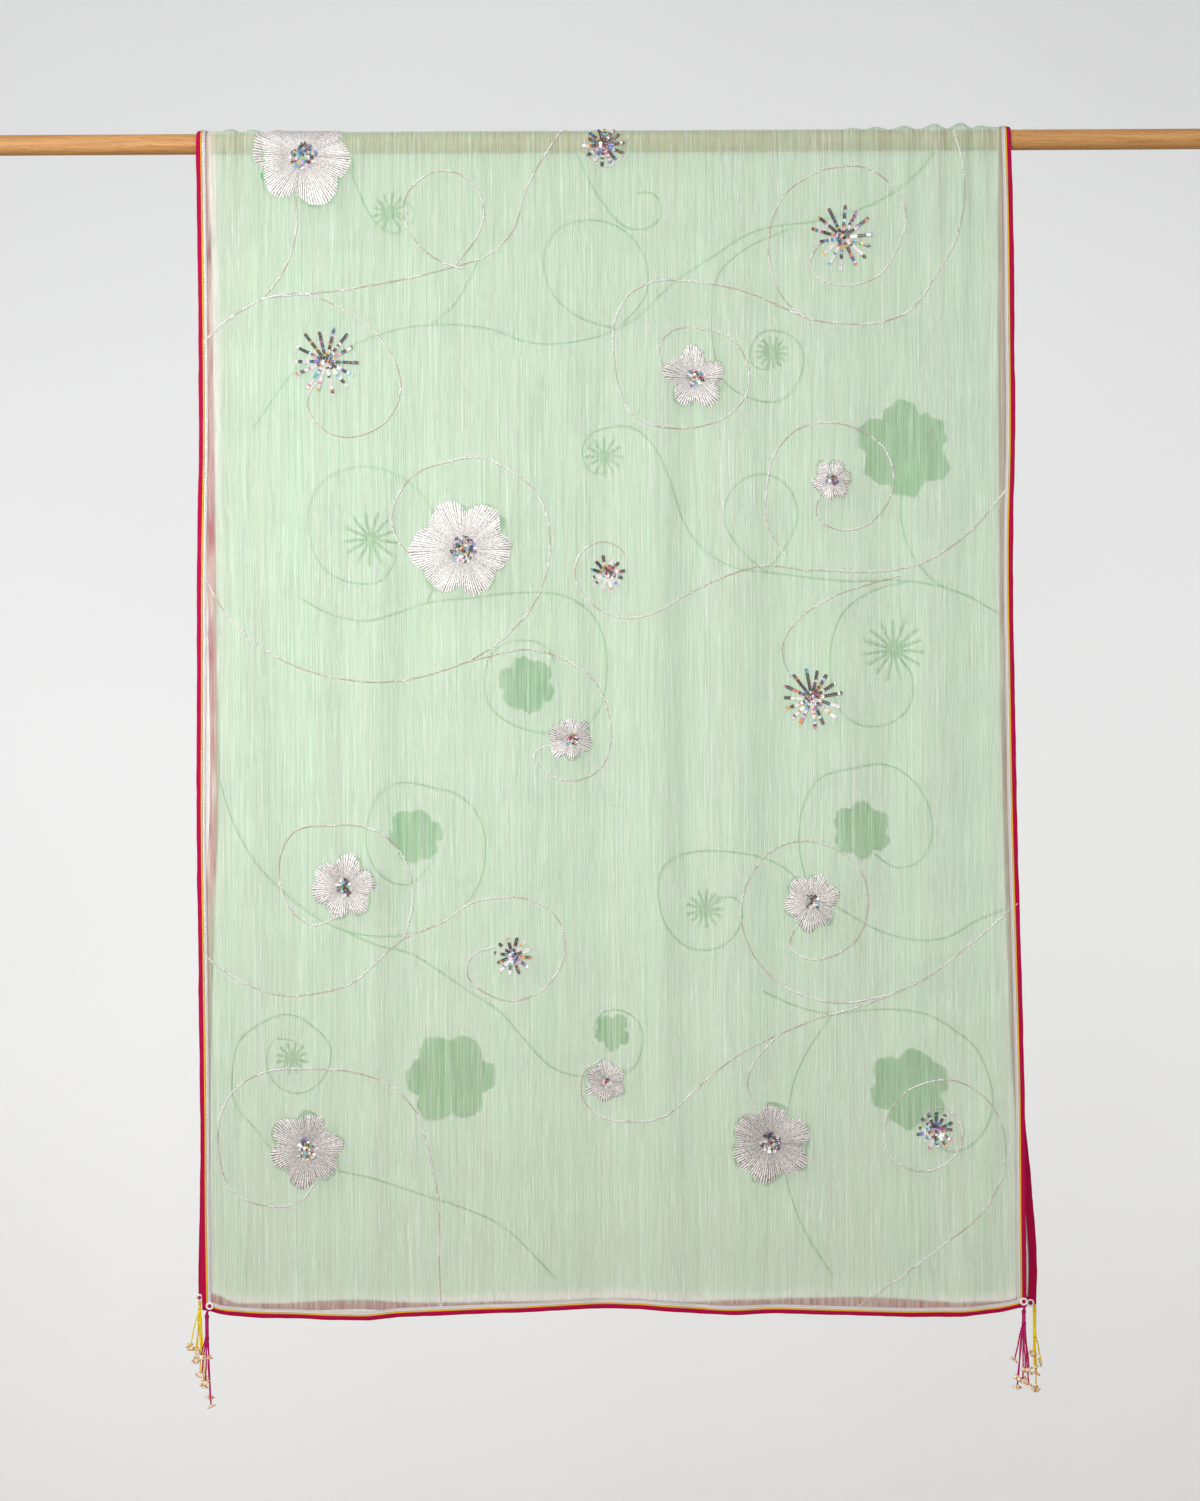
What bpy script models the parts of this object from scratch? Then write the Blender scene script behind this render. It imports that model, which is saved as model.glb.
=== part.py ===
"""A dupatta stole hung over a plain round wooden rod.

One long sheer cloth is folded over the rod, so it shows as three stretches: a front fall towards -Y,
a turn over the rod, and a back fall towards +Y. A crimson satin border binds its sides and both hems,
with a yellow piping on the border's seam and a silver lace beside it. A ring and a tassel hang at each
of its four corners.

The origin is the middle of the rod's axis. X runs along the rod and Z points up. The sizes below are in
millimetres, and MM turns them into Blender's metres. In the tables a "drop" is a depth below the rod's
axis, and "out" is a distance away from the rod, towards -Y on the front fall and +Y on the back fall.
"""

import math
from collections import namedtuple

import bmesh
import bpy
import numpy as np
from mathutils import Matrix, Vector

MM = 0.001

# Clearance between two pieces that are sewn or laid together
GAP = 0.3

# Rod
ROD_RADIUS = 10.75
ROD_LENGTH = 1400.0
ROD_CHAMFER = 1.0
ROD_SIDES = 36

# Cloth, and the trims along its edge, from the edge inwards
WALL = 1.0
BORDER_WIDTH = 4.8
BORDER_FACING = 3.9
PIPING_INNER, PIPING_OUTER = 2.1, 0.1
PIPING_BEVEL = 0.4
LACE_INNER, LACE_OUTER = 6.2, 2.4
TRIM_WALL = 1.0
BORDER_DEPTH = WALL + GAP + TRIM_WALL

# The cloth turns over the rod in flat steps, whose middles stay clear of the rod
TURN_STEPS = 8
TURN_RADIUS = (ROD_RADIUS + GAP) / math.cos(math.pi / (2 * TURN_STEPS))

# Beside its edges the cloth lies flat under the trims and is lifted by the border's facing
FLAT_EDGE = 12.0
EDGE_FADE = 26.0
EDGE_LIFT = 1.5

# The finished length of each fall, and the rows of points down it
FALL_LENGTH = 1238.0
CLOTH_LENGTH = FALL_LENGTH - BORDER_WIDTH - GAP
FALL_ROWS = [0, 14, 34, 62, 100, 150, 225, 320, 430, 545, 660, 775, 890, 1000, 1110,
             CLOTH_LENGTH - FLAT_EDGE, CLOTH_LENGTH]

# The columns of points across the cloth: each zone's right end at the rod, and how many steps cross it
Zone = namedtuple("Zone", "end steps")
COLUMN_ZONES = [Zone(-413.5, 1), Zone(-335, 7), Zone(245, 23), Zone(411.5, 19), Zone(424.2, 1)]

# A fall's finished edges: where each stands at a drop, and how far its sides and middle swing out
EdgeRow = namedtuple("EdgeRow", "drop left right left_out middle_out right_out")
FRONT_EDGES = [
    EdgeRow(0, -430.4, 430.4, 0.0, 0.0, 0.0),
    EdgeRow(78, -429.7, 432.0, 0.5, 0.2, 0.5),
    EdgeRow(196, -428.8, 432.6, 2.0, 1.0, 1.5),
    EdgeRow(314, -428.6, 432.8, 3.5, 2.0, 1.5),
    EdgeRow(433, -431.2, 429.7, 2.0, 3.0, 3.0),
    EdgeRow(580, -432.4, 430.6, 1.5, 4.0, 4.0),
    EdgeRow(728, -433.2, 432.7, 3.0, 5.0, 3.0),
    EdgeRow(876, -431.8, 436.1, 5.5, 5.5, 3.5),
    EdgeRow(1024, -430.9, 438.6, 5.0, 6.0, 6.0),
    EdgeRow(1142, -430.8, 438.6, 5.5, 6.5, 8.0),
    EdgeRow(FALL_LENGTH, -429.6, 439.0, 7.0, 7.0, 8.5),
]
BACK_EDGES = [
    EdgeRow(0, -430.4, 430.4, 0.0, 0.0, 0.0),
    EdgeRow(180, -427.5, 428.6, 1.0, 0.5, 0.6),
    EdgeRow(420, -425.3, 428.8, 3.0, 2.0, 2.5),
    EdgeRow(560, -423.3, 429.6, 2.6, 3.3, 3.8),
    EdgeRow(690, -422.8, 431.2, 3.0, 4.4, 4.6),
    EdgeRow(815, -428.8, 434.8, 4.3, 5.8, 5.0),
    EdgeRow(1000, -434.4, 441.0, 7.0, 7.0, 6.0),
    EdgeRow(1120, -436.6, 451.6, 8.0, 8.5, 8.5),
    EdgeRow(1195, -438.6, 456.6, 8.7, 9.2, 10.2),
    EdgeRow(FALL_LENGTH, -438.9, 455.4, 9.0, 9.5, 11.0),
]

# The finished hem of each fall: how far down it hangs across the cloth
HemRow = namedtuple("HemRow", "x drop")
FRONT_HEM = [HemRow(-430, 1230.5), HemRow(-411, 1236.5), HemRow(-386, 1239.6), HemRow(-330, 1241.9),
             HemRow(-276, 1244.0), HemRow(-220, 1241.0), HemRow(-164, 1238.9), HemRow(-82, 1235.2),
             HemRow(-14, 1233.6), HemRow(42, 1234.2), HemRow(110, 1239.4), HemRow(165, 1239.0),
             HemRow(248, 1241.5), HemRow(330, 1243.4), HemRow(385, 1241.6), HemRow(412, 1238.9),
             HemRow(439, 1232.5)]
BACK_HEM = [HemRow(-439, 1229.5), HemRow(-424, 1231.5), HemRow(-402, 1240.8), HemRow(-370, 1243.0),
            HemRow(-300, 1239.8), HemRow(-204, 1242.5), HemRow(-100, 1242.3), HemRow(0, 1240.0),
            HemRow(100, 1243.4), HemRow(210, 1239.7), HemRow(300, 1241.0), HemRow(393, 1246.0),
            HemRow(424, 1244.4), HemRow(443, 1239.6), HemRow(455, 1239.0)]

# The soft folds down a fall: a ridge has a positive height and a trough a negative one. Each grows and
# fades over a share of its length, and one that reaches the hem doesn't fade there.
Fold = namedtuple("Fold", "start end x_start x_end half_width height")
FOLD_FADE = 0.3
FRONT_FOLDS = [
    Fold(330, 1190, -390, -366, 30, 5.0),
    Fold(420, 1010, -350, -318, 30, -4.0),
    Fold(200, 1150, -312, -292, 34, 3.5),
    Fold(180, 1238, -245, -252, 32, 5.5),
    Fold(120, 1050, -196, -202, 34, -4.5),
    Fold(90, 1238, -106, -92, 64, 6.0),
    Fold(40, 1238, -4, -6, 34, -5.5),
    Fold(20, 1238, 50, 58, 34, 6.0),
    Fold(140, 1120, 90, 86, 31, -4.5),
    Fold(210, 1238, 132, 136, 44, 6.0),
    Fold(30, 1150, 180, 192, 40, -5.5),
    Fold(30, 980, 240, 258, 42, 4.5),
    Fold(110, 1040, 298, 306, 34, -3.5),
    Fold(90, 1120, 352, 338, 44, 3.5),
    Fold(980, 1238, 412, 372, 30, 5.0),
]
BACK_FOLDS = [
    Fold(260, 1238, -384, -372, 32, 4.5),
    Fold(60, 1100, -330, -338, 32, -4.0),
    Fold(120, 1238, -268, -258, 46, 5.5),
    Fold(40, 1150, -190, -176, 36, -5.0),
    Fold(30, 1238, -128, -120, 34, 6.0),
    Fold(300, 1238, -62, -56, 30, -4.0),
    Fold(180, 1120, 4, -8, 46, 5.0),
    Fold(60, 1238, 74, 70, 34, -5.0),
    Fold(20, 1238, 132, 128, 38, 6.0),
    Fold(220, 1060, 196, 204, 36, -4.5),
    Fold(60, 1238, 262, 270, 44, 5.0),
    Fold(100, 1130, 330, 342, 36, -4.0),
    Fold(420, 1238, 388, 402, 30, 5.0),
]

# The gathers where the cloth is bunched on the rod, and how far down they have faded
Gather = namedtuple("Gather", "x half_width height fade")
GATHERS = [
    Gather(-396, 13, 4.0, 150),
    Gather(-371, 13, 3.0, 110),
    Gather(-346, 12, 1.5, 70),
    Gather(264, 12, 1.5, 90),
    Gather(289, 13, 2.5, 120),
    Gather(318, 14, 3.5, 160),
    Gather(350, 15, 5.5, 210),
    Gather(378, 14, 6.0, 230),
    Gather(402, 13, 5.0, 170),
]

Fall = namedtuple("Fall", "name out edges hem folds")
FRONT = Fall("front", Vector((0, -1, 0)), FRONT_EDGES, FRONT_HEM, FRONT_FOLDS)
BACK = Fall("back", Vector((0, 1, 0)), BACK_EDGES, BACK_HEM, BACK_FOLDS)

# Corner rings
RING_RADIUS, RING_WIRE = 3.1, 1.0
RING_STEPS, RING_WIRE_STEPS = 14, 6

# Tassels: a bound stalk with three-sided threads, each with a cup near its end
STALK_SIDES, CUP_SIDES, THREAD_SIDES = 6, 6, 3
STALK_KNOT, STALK_WAIST = 1.25, 0.8
STALK_STOPS = (0, 0.12, 0.25, 0.8, 1)
STALK_WIDTHS = (STALK_WAIST, STALK_KNOT, STALK_WAIST, 1, STALK_WAIST)
THREAD_STEPS = 3
THREAD_ROOT = 3.0
THREAD_BEND_SPREAD, THREAD_BEND_DROP = 0.6, 0.5
CUP_TOP_RADIUS, CUP_RADIUS, CUP_HEIGHT = 0.9, 5.2, 3.0
CUP_RIM = 0.7
Cup = namedtuple("Cup", "x out drop tilt")

# What hangs at each corner. The ring's middle stands in from the finished side and up from the hem, and
# the tassel hangs at its own distance in from the side.
Corner = namedtuple(
    "Corner", "fall side ring_inset ring_rise tassel_inset stalk_length stalk_radius thread_radius cups")
CORNERS = [
    Corner(FRONT, -1, 8.4, 3.3, 5.0, 28, 2.2, 0.95, [
        Cup(1.8, 1.0, 45.5, 8), Cup(-6.0, -2.0, 45, -12), Cup(-5.8, 1.5, 64, 15),
        Cup(-1.5, -2.0, 71.5, -20), Cup(2.4, 2.5, 88, 8), Cup(4.0, -1.0, 97, -25)]),
    Corner(FRONT, 1, 3.5, 5.6, 3.1, 16, 2.2, 0.95, [
        Cup(-9.5, 1.0, 52.5, 40), Cup(0.8, -2.5, 62, -15), Cup(5.5, 2.0, 66, 20), Cup(-7.0, -2.5, 70, 12),
        Cup(-1.0, 2.5, 74, -30), Cup(4.5, -2.0, 77.5, 25), Cup(-7.0, 1.5, 81, 5)]),
    Corner(BACK, -1, 1.2, 3.4, 1.4, 8, 1.3, 0.6, [
        Cup(-10.0, 1.5, 47.5, 8), Cup(-3.6, -2.0, 50, -6), Cup(1.6, 2.0, 55, 5),
        Cup(-4.8, 1.0, 61.5, -12), Cup(-0.4, -2.5, 78, 25), Cup(5.0, 2.0, 81, -15),
        Cup(4.2, -1.5, 89, 20)]),
    Corner(BACK, 1, 6.6, 2.4, 2.1, 34, 1.8, 0.7, [
        Cup(-1.8, 1.0, 50, 10), Cup(7.5, -2.0, 61, 75), Cup(-1.0, 2.5, 64, -12), Cup(2.0, -2.5, 72, 20),
        Cup(1.2, 1.0, 88, 0)]),
]

# Colours as linear red, green and blue, with roughness
Finish = namedtuple("Finish", "colour roughness metallic")
FINISHES = {
    "rod_wood": Finish((0.58, 0.30, 0.11), 0.45, 0.0),
    "mint_cloth": Finish((0.58, 0.76, 0.55), 0.75, 0.0),
    "crimson_satin": Finish((0.44, 0.010, 0.055), 0.4, 0.0),
    "yellow_piping": Finish((0.66, 0.44, 0.04), 0.55, 0.0),
    "silver_lace": Finish((0.62, 0.58, 0.60), 0.4, 0.6),
    "shell_ring": Finish((0.80, 0.76, 0.68), 0.3, 0.1),
    "magenta_thread": Finish((0.40, 0.012, 0.10), 0.6, 0.0),
    "gold_thread": Finish((0.62, 0.42, 0.05), 0.6, 0.0),
}


def smoothstep(t):
    """Rises from 0 to 1 with level ends."""
    t = np.clip(t, 0.0, 1.0)
    return t * t * (3 - 2 * t)


def smooth(at, places, values):
    """A smooth curve through the values at the places, read at one or many points."""
    places, values = np.asarray(places, float), np.asarray(values, float)
    at = np.clip(at, places[0], places[-1])
    slopes = np.gradient(values, places)
    i = np.clip(np.searchsorted(places, at, side="right") - 1, 0, len(places) - 2)
    width = places[i + 1] - places[i]
    t = (at - places[i]) / width
    rise = smoothstep(t)
    bend = t * (1 - t) ** 2 * slopes[i] - t * t * (1 - t) * slopes[i + 1]
    return values[i] * (1 - rise) + values[i + 1] * rise + bend * width


def read(rows, at, by, name):
    """One column of a table as a smooth curve against another column."""
    return smooth(at, [getattr(row, by) for row in rows], [getattr(row, name) for row in rows])


def cloth_columns():
    """Where the columns of points stand, as shares of the cloth's width, from its left edge."""
    left, right = cloth_edges(FRONT, np.array([0.0]))
    stops = [float(left[0])]
    for zone in COLUMN_ZONES:
        stops.extend(np.linspace(stops[-1], zone.end, zone.steps + 1)[1:])
    stops[-1] = float(right[0])
    return (np.array(stops) - stops[0]) / (stops[-1] - stops[0])


def cloth_edges(fall, drop):
    """The cloth's own left and right edges, which lie inside the border."""
    inset = BORDER_WIDTH + GAP
    return read(fall.edges, drop, "drop", "left") + inset, read(fall.edges, drop, "drop", "right") - inset


def flat_share(x, left, right):
    """0 in the flat strip beside each edge, and 1 well inside the cloth."""
    inside = np.minimum(x - left, right - x)
    return smoothstep((inside - FLAT_EDGE) / EDGE_FADE)


def gather_height(x, drop):
    """How far the gathers lift the cloth at a place, fading down from the rod."""
    height = np.zeros(np.broadcast(x, drop).shape)
    for gather in GATHERS:
        across = np.clip((x - gather.x) / gather.half_width, -1, 1)
        height += gather.height * np.cos(across * math.pi / 2) ** 2 * (1 - smoothstep(drop / gather.fade))
    return height


def fold_height(fall, x, drop):
    """How far the soft folds lift the cloth: each is a smooth ridge that slants and fades at its ends."""
    height = np.zeros(np.broadcast(x, drop).shape)
    for fold in fall.folds:
        along = (drop - fold.start) / (fold.end - fold.start)
        middle = fold.x_start + (fold.x_end - fold.x_start) * along
        across = np.clip((x - middle) / fold.half_width, -1, 1)
        ends = smoothstep(along / FOLD_FADE)
        if fold.end < CLOTH_LENGTH:
            ends = ends * smoothstep((1 - along) / FOLD_FADE)
        height += fold.height * np.cos(across * math.pi / 2) ** 2 * ends
    return height


def fall_grid(fall):
    """Points of a fall's inner and outer faces, rows by columns, from the rod's level to the hem."""
    drop = np.array(FALL_ROWS, float)[:, None]
    share = cloth_columns()[None, :]
    left, right = cloth_edges(fall, drop)
    x = left + (right - left) * share
    shape_drop = np.minimum(drop, CLOTH_LENGTH - FLAT_EDGE)
    swing_left = read(fall.edges, shape_drop, "drop", "left_out")
    swing_middle = read(fall.edges, shape_drop, "drop", "middle_out")
    swing_right = read(fall.edges, shape_drop, "drop", "right_out")
    swing = np.where(
        share < 0.5,
        swing_left + (swing_middle - swing_left) * smoothstep(share * 2),
        swing_middle + (swing_right - swing_middle) * smoothstep(share * 2 - 1),
    )
    inside = flat_share(x, left, right)
    shape = fold_height(fall, x, shape_drop) + gather_height(x, shape_drop)
    out = TURN_RADIUS + swing + EDGE_LIFT * (1 - inside) + inside * shape
    hem = read(fall.hem, x, "x", "drop") - BORDER_WIDTH - GAP
    z = -(GAP / 2 + drop / CLOTH_LENGTH * (hem - GAP / 2))
    faces = [np.stack([x, fall.out.y * (out + depth), z], axis=-1) for depth in (0, WALL)]
    return faces[0], faces[1]


def turn_grid():
    """Points of the turn's inner and outer faces: steps over the rod, from front to back, by columns."""
    angle = np.linspace(0, math.pi, TURN_STEPS + 1)[:, None]
    left, right = cloth_edges(FRONT, np.array([0.0]))
    x = (left + (right - left) * cloth_columns())[None, :] + 0 * angle
    inside = flat_share(x, left, right)
    radius = TURN_RADIUS + EDGE_LIFT * (1 - inside) + inside * gather_height(x, 0 * x)
    faces = [np.stack([x, -(radius + depth) * np.cos(angle),
                       (radius + depth) * np.sin(angle) + GAP / 2], axis=-1) for depth in (0, WALL)]
    return faces[0], faces[1]


def quads(index, closed=False):
    """Two triangles for each cell of a grid of point numbers."""
    if closed:
        index = np.concatenate([index, index[:, :1]], axis=1)
    a, b, c, d = index[:-1, :-1], index[:-1, 1:], index[1:, 1:], index[1:, :-1]
    return np.concatenate([np.stack([a, b, c], -1).reshape(-1, 3), np.stack([a, c, d], -1).reshape(-1, 3)])


def body_mesh(points, faces):
    """A mesh in metres from points in millimetres, with its faces turned outwards."""
    mesh = bpy.data.meshes.new("body")
    mesh.from_pydata((np.asarray(points) * MM).tolist(), [], [list(map(int, face)) for face in faces])
    work = bmesh.new()
    work.from_mesh(mesh)
    bmesh.ops.recalc_face_normals(work, faces=work.faces)
    work.to_mesh(mesh)
    work.free()
    return mesh


def solid(name, points, faces, finish, place=(0, 0, 0)):
    """A closed body in the scene, from points in millimetres."""
    return add_object(name, body_mesh(points, faces), finish, place)


def add_object(name, mesh, finish, place=(0, 0, 0)):
    """Puts a mesh in the scene under the stand's empty, with its material and smooth shading."""
    piece = bpy.data.objects.new(name, mesh)
    bpy.context.scene.collection.objects.link(piece)
    piece.location = Vector(place) * MM
    piece.parent = bpy.data.objects["stole_on_rod"]
    mesh.materials.append(bpy.data.materials[finish])
    mesh.shade_smooth()
    mesh.set_sharp_from_angle(angle=math.radians(40))
    return piece


def wall(name, inner, outer, finish):
    """A closed wall between two grids of points."""
    rows, columns = inner.shape[:2]
    near = np.arange(rows * columns).reshape(rows, columns)
    far = near + rows * columns
    rim = np.concatenate([near[0, :-1], near[:-1, -1], near[-1, :0:-1], near[:0:-1, 0]])
    band = quads(np.stack([rim, rim + rows * columns]), closed=True)
    faces = np.concatenate([quads(near)[:, ::-1], quads(far), band])
    points = np.concatenate([inner.reshape(-1, 3), outer.reshape(-1, 3)])
    return solid(name, points, faces, finish)


def strip(name, path, across, inwards, section, finish):
    """A strip swept along a path. Its section's points are (distance outwards in the cloth, depth)."""
    steps, corners = len(path), len(section)
    out, depth = np.array(section).T
    points = path[:, None] + out[:, None] * across[:, None] + depth[:, None] * inwards[:, None]
    index = np.arange(steps * corners).reshape(steps, corners)
    faces = [list(face) for face in quads(index, closed=True)]
    faces += [list(index[0]), list(index[-1][::-1])]
    return solid(name, points.reshape(-1, 3), faces, finish)


def trims(stretch, path, across, inwards):
    """The border, piping and lace along one path at the cloth's edge."""
    border = [(GAP, 0), (GAP + BORDER_WIDTH, 0), (GAP + BORDER_WIDTH, BORDER_DEPTH),
              (-BORDER_FACING, BORDER_DEPTH), (-BORDER_FACING, WALL + GAP), (GAP, WALL + GAP)]
    seat, top = -GAP, -GAP - TRIM_WALL
    piping = [(-PIPING_INNER, seat), (-PIPING_OUTER, seat),
              (-PIPING_OUTER - PIPING_BEVEL, top), (-PIPING_INNER + PIPING_BEVEL, top)]
    lace = [(-LACE_INNER, seat), (-LACE_OUTER, seat), (-LACE_OUTER, top), (-LACE_INNER, top)]
    strip("border_" + stretch, path, across, inwards, border, "crimson_satin")
    strip("piping_" + stretch, path, across, inwards, piping, "yellow_piping")
    strip("lace_" + stretch, path, across, inwards, lace, "silver_lace")


def fall_trims(fall, outer):
    """The trims down a fall's left edge, mitred at the corners, along its hem and up its right edge."""
    rows, columns = outer.shape[:2]
    path = np.concatenate([outer[:, 0], outer[-1, 1:-1], outer[::-1, -1]])
    across = np.concatenate([
        np.tile((-1.0, 0.0, 0.0), (rows, 1)), np.tile((0.0, 0.0, -1.0), (columns - 2, 1)),
        np.tile((1.0, 0.0, 0.0), (rows, 1))])
    across[rows - 1] = (-1, 0, -1)
    across[rows + columns - 2] = (1, 0, -1)
    inwards = np.tile(-np.array(fall.out), (len(path), 1))
    trims(fall.name, path, across, inwards)


def turn_trims(outer):
    """The trims over the rod, at the cloth's two sides."""
    angle = np.linspace(0, math.pi, TURN_STEPS + 1)
    inwards = np.stack([0 * angle, np.cos(angle), -np.sin(angle)], axis=-1)
    for side, column, sign in (("left", 0, -1.0), ("right", -1, 1.0)):
        across = np.tile((sign, 0.0, 0.0), (len(angle), 1))
        trims("over_rod_" + side, outer[:, column], across, inwards)


def corner_place(corner):
    """A finished corner's x, how far its outer face stands out from the rod, and its z."""
    fall, is_left = corner.fall, corner.side < 0
    left, right = (float(edge[0]) for edge in cloth_edges(fall, np.array([CLOTH_LENGTH])))
    x = left - BORDER_WIDTH - GAP if is_left else right + BORDER_WIDTH + GAP
    name = "left_out" if is_left else "right_out"
    swing = float(read(fall.edges, CLOTH_LENGTH - FLAT_EDGE, "drop", name))
    drop = float(read(fall.hem, x, "x", "drop"))
    return x, TURN_RADIUS + swing + EDGE_LIFT + WALL, -drop


def corner_name(kind, corner):
    """The name of the piece of that kind at a corner."""
    return f"{kind}_{corner.fall.name}_{'left' if corner.side < 0 else 'right'}"


def add_ring(corner):
    """A ring sewn flat on a corner, towards the front: over the front fall's lace, or on the inner face of
    the back fall's border."""
    x, face_out, z = corner_place(corner)
    if corner.fall is FRONT:
        seat = face_out + GAP + TRIM_WALL + GAP + RING_WIRE
    else:
        seat = face_out - BORDER_DEPTH - GAP - RING_WIRE
    turn = np.linspace(0, 2 * math.pi, RING_STEPS, endpoint=False)[:, None]
    round_wire = np.linspace(0, 2 * math.pi, RING_WIRE_STEPS, endpoint=False)[None, :]
    reach = RING_RADIUS + RING_WIRE * np.cos(round_wire)
    depth = RING_WIRE * np.sin(round_wire) + 0 * turn
    points = np.stack([reach * np.cos(turn), depth, reach * np.sin(turn)], axis=-1)
    index = np.arange(RING_STEPS * RING_WIRE_STEPS).reshape(RING_STEPS, RING_WIRE_STEPS)
    index = np.concatenate([index, index[:1]])
    place = (x - corner.side * corner.ring_inset, corner.fall.out.y * seat, z + corner.ring_rise)
    faces = quads(index, closed=True)
    solid(corner_name("ring", corner), points.reshape(-1, 3), faces, "shell_ring", place)


def tube(path, radii, sides):
    """A closed tube as points and faces: rings of points round a path, with flat ends."""
    path = [Vector(point) for point in path]
    points = []
    for i, (centre, radius) in enumerate(zip(path, radii)):
        along = (path[min(i + 1, len(path) - 1)] - path[max(i - 1, 0)]).normalized()
        turn = along.to_track_quat("Z", "Y")
        for k in range(sides):
            angle = 2 * math.pi * k / sides
            points.append(centre + turn @ Vector((math.cos(angle), math.sin(angle), 0)) * radius)
    index = np.arange(len(points)).reshape(len(path), sides)
    faces = [list(face) for face in quads(index, closed=True)]
    faces += [list(index[0]), list(index[-1][::-1])]
    return points, faces


def thread_path(corner, cup):
    """A thread's line from inside the stalk's foot down to its cup, in one bend that bows outwards."""
    root = Vector((0, 0, -corner.stalk_length + THREAD_ROOT))
    end = Vector((cup.x, -cup.out * corner.fall.out.y, -cup.drop))
    bend = Vector((end.x * THREAD_BEND_SPREAD, end.y * THREAD_BEND_SPREAD,
                   root.z + (end.z - root.z) * THREAD_BEND_DROP))
    return [root * (1 - t) ** 2 + bend * 2 * t * (1 - t) + end * t * t
            for t in np.linspace(0, 1, THREAD_STEPS + 1)]


def cup_tube(corner, cup):
    """A shallow cup with a thick rim, tilted about the depth direction, its crown on the thread's end."""
    crown = Vector((cup.x, -cup.out * corner.fall.out.y, -cup.drop + CUP_TOP_RADIUS))
    turn = Matrix.Rotation(math.radians(cup.tilt), 3, "Y")
    heights = (0, -CUP_HEIGHT + CUP_RIM, -CUP_HEIGHT)
    path = [crown + turn @ Vector((0, 0, height)) for height in heights]
    return tube(path, (CUP_TOP_RADIUS, CUP_RADIUS, CUP_RADIUS), CUP_SIDES)


def fused(bodies):
    """One closed mesh from bodies that run into each other."""
    whole = bpy.data.objects.new("fused", bodies[0])
    other = bpy.data.objects.new("fused_other", bodies[0])
    for holder in (whole, other):
        bpy.context.scene.collection.objects.link(holder)
    join = whole.modifiers.new("join", "BOOLEAN")
    join.operation, join.solver, join.object = "UNION", "EXACT", other
    for body in bodies[1:]:
        other.data = body
        bpy.context.view_layer.update()
        seen = whole.evaluated_get(bpy.context.evaluated_depsgraph_get())
        whole.data = bpy.data.meshes.new_from_object(seen)
    mesh = whole.data
    for holder in (whole, other):
        bpy.data.objects.remove(holder)
    return mesh


def add_tassel(corner):
    """A stalk under a corner, knotted near its top, with its threads and their cups fused into it."""
    radius = corner.stalk_radius
    stalk_path = [(0, 0, -stop * corner.stalk_length) for stop in STALK_STOPS]
    bodies = [body_mesh(*tube(stalk_path, np.array(STALK_WIDTHS) * radius, STALK_SIDES))]
    for cup in corner.cups:
        radii = [corner.thread_radius] * (THREAD_STEPS + 1)
        bodies.append(body_mesh(*tube(thread_path(corner, cup), radii, THREAD_SIDES)))
        bodies.append(body_mesh(*cup_tube(corner, cup)))
    x, face_out, _ = corner_place(corner)
    x -= corner.side * corner.tassel_inset
    middle = corner.fall.out.y * (face_out - BORDER_DEPTH / 2)
    reaches = x + np.linspace(-3, 3, 13) * radius
    hem = float(read(corner.fall.hem, reaches, "x", "drop").max())
    finish = "magenta_thread" if corner.fall is FRONT else "gold_thread"
    add_object(corner_name("tassel", corner), fused(bodies), finish, (x, middle, -hem - GAP))


def add_rod():
    """The plain round rod, along X, with a small chamfer round each flat end."""
    half = ROD_LENGTH / 2
    stops = (-half, -half + ROD_CHAMFER, half - ROD_CHAMFER, half)
    radii = (ROD_RADIUS - ROD_CHAMFER, ROD_RADIUS, ROD_RADIUS, ROD_RADIUS - ROD_CHAMFER)
    angle = np.linspace(0, 2 * math.pi, ROD_SIDES, endpoint=False)
    rings = [np.stack([0 * angle + stop, radius * np.cos(angle), radius * np.sin(angle)], -1)
             for stop, radius in zip(stops, radii)]
    index = np.arange(len(stops) * ROD_SIDES).reshape(len(stops), ROD_SIDES)
    faces = [list(face) for face in quads(index, closed=True)]
    faces += [list(index[0]), list(index[-1][::-1])]
    solid("wooden_rod", np.concatenate(rings), faces, "rod_wood")


def add_materials():
    """One Principled material for each finish."""
    for name, finish in FINISHES.items():
        material = bpy.data.materials.new(name)
        material.use_nodes = True
        shader = material.node_tree.nodes["Principled BSDF"]
        shader.inputs["Base Color"].default_value = (*finish.colour, 1.0)
        shader.inputs["Roughness"].default_value = finish.roughness
        shader.inputs["Metallic"].default_value = finish.metallic


def main():
    for piece in list(bpy.data.objects):
        bpy.data.objects.remove(piece, do_unlink=True)
    bpy.context.scene.collection.objects.link(bpy.data.objects.new("stole_on_rod", None))
    add_materials()
    add_rod()
    for fall in (FRONT, BACK):
        inner, outer = fall_grid(fall)
        wall(f"cloth_{fall.name}_fall", inner, outer, "mint_cloth")
        fall_trims(fall, outer)
    inner, outer = turn_grid()
    wall("cloth_over_rod", inner, outer, "mint_cloth")
    turn_trims(outer)
    for corner in CORNERS:
        add_ring(corner)
        add_tassel(corner)


main()
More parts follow.
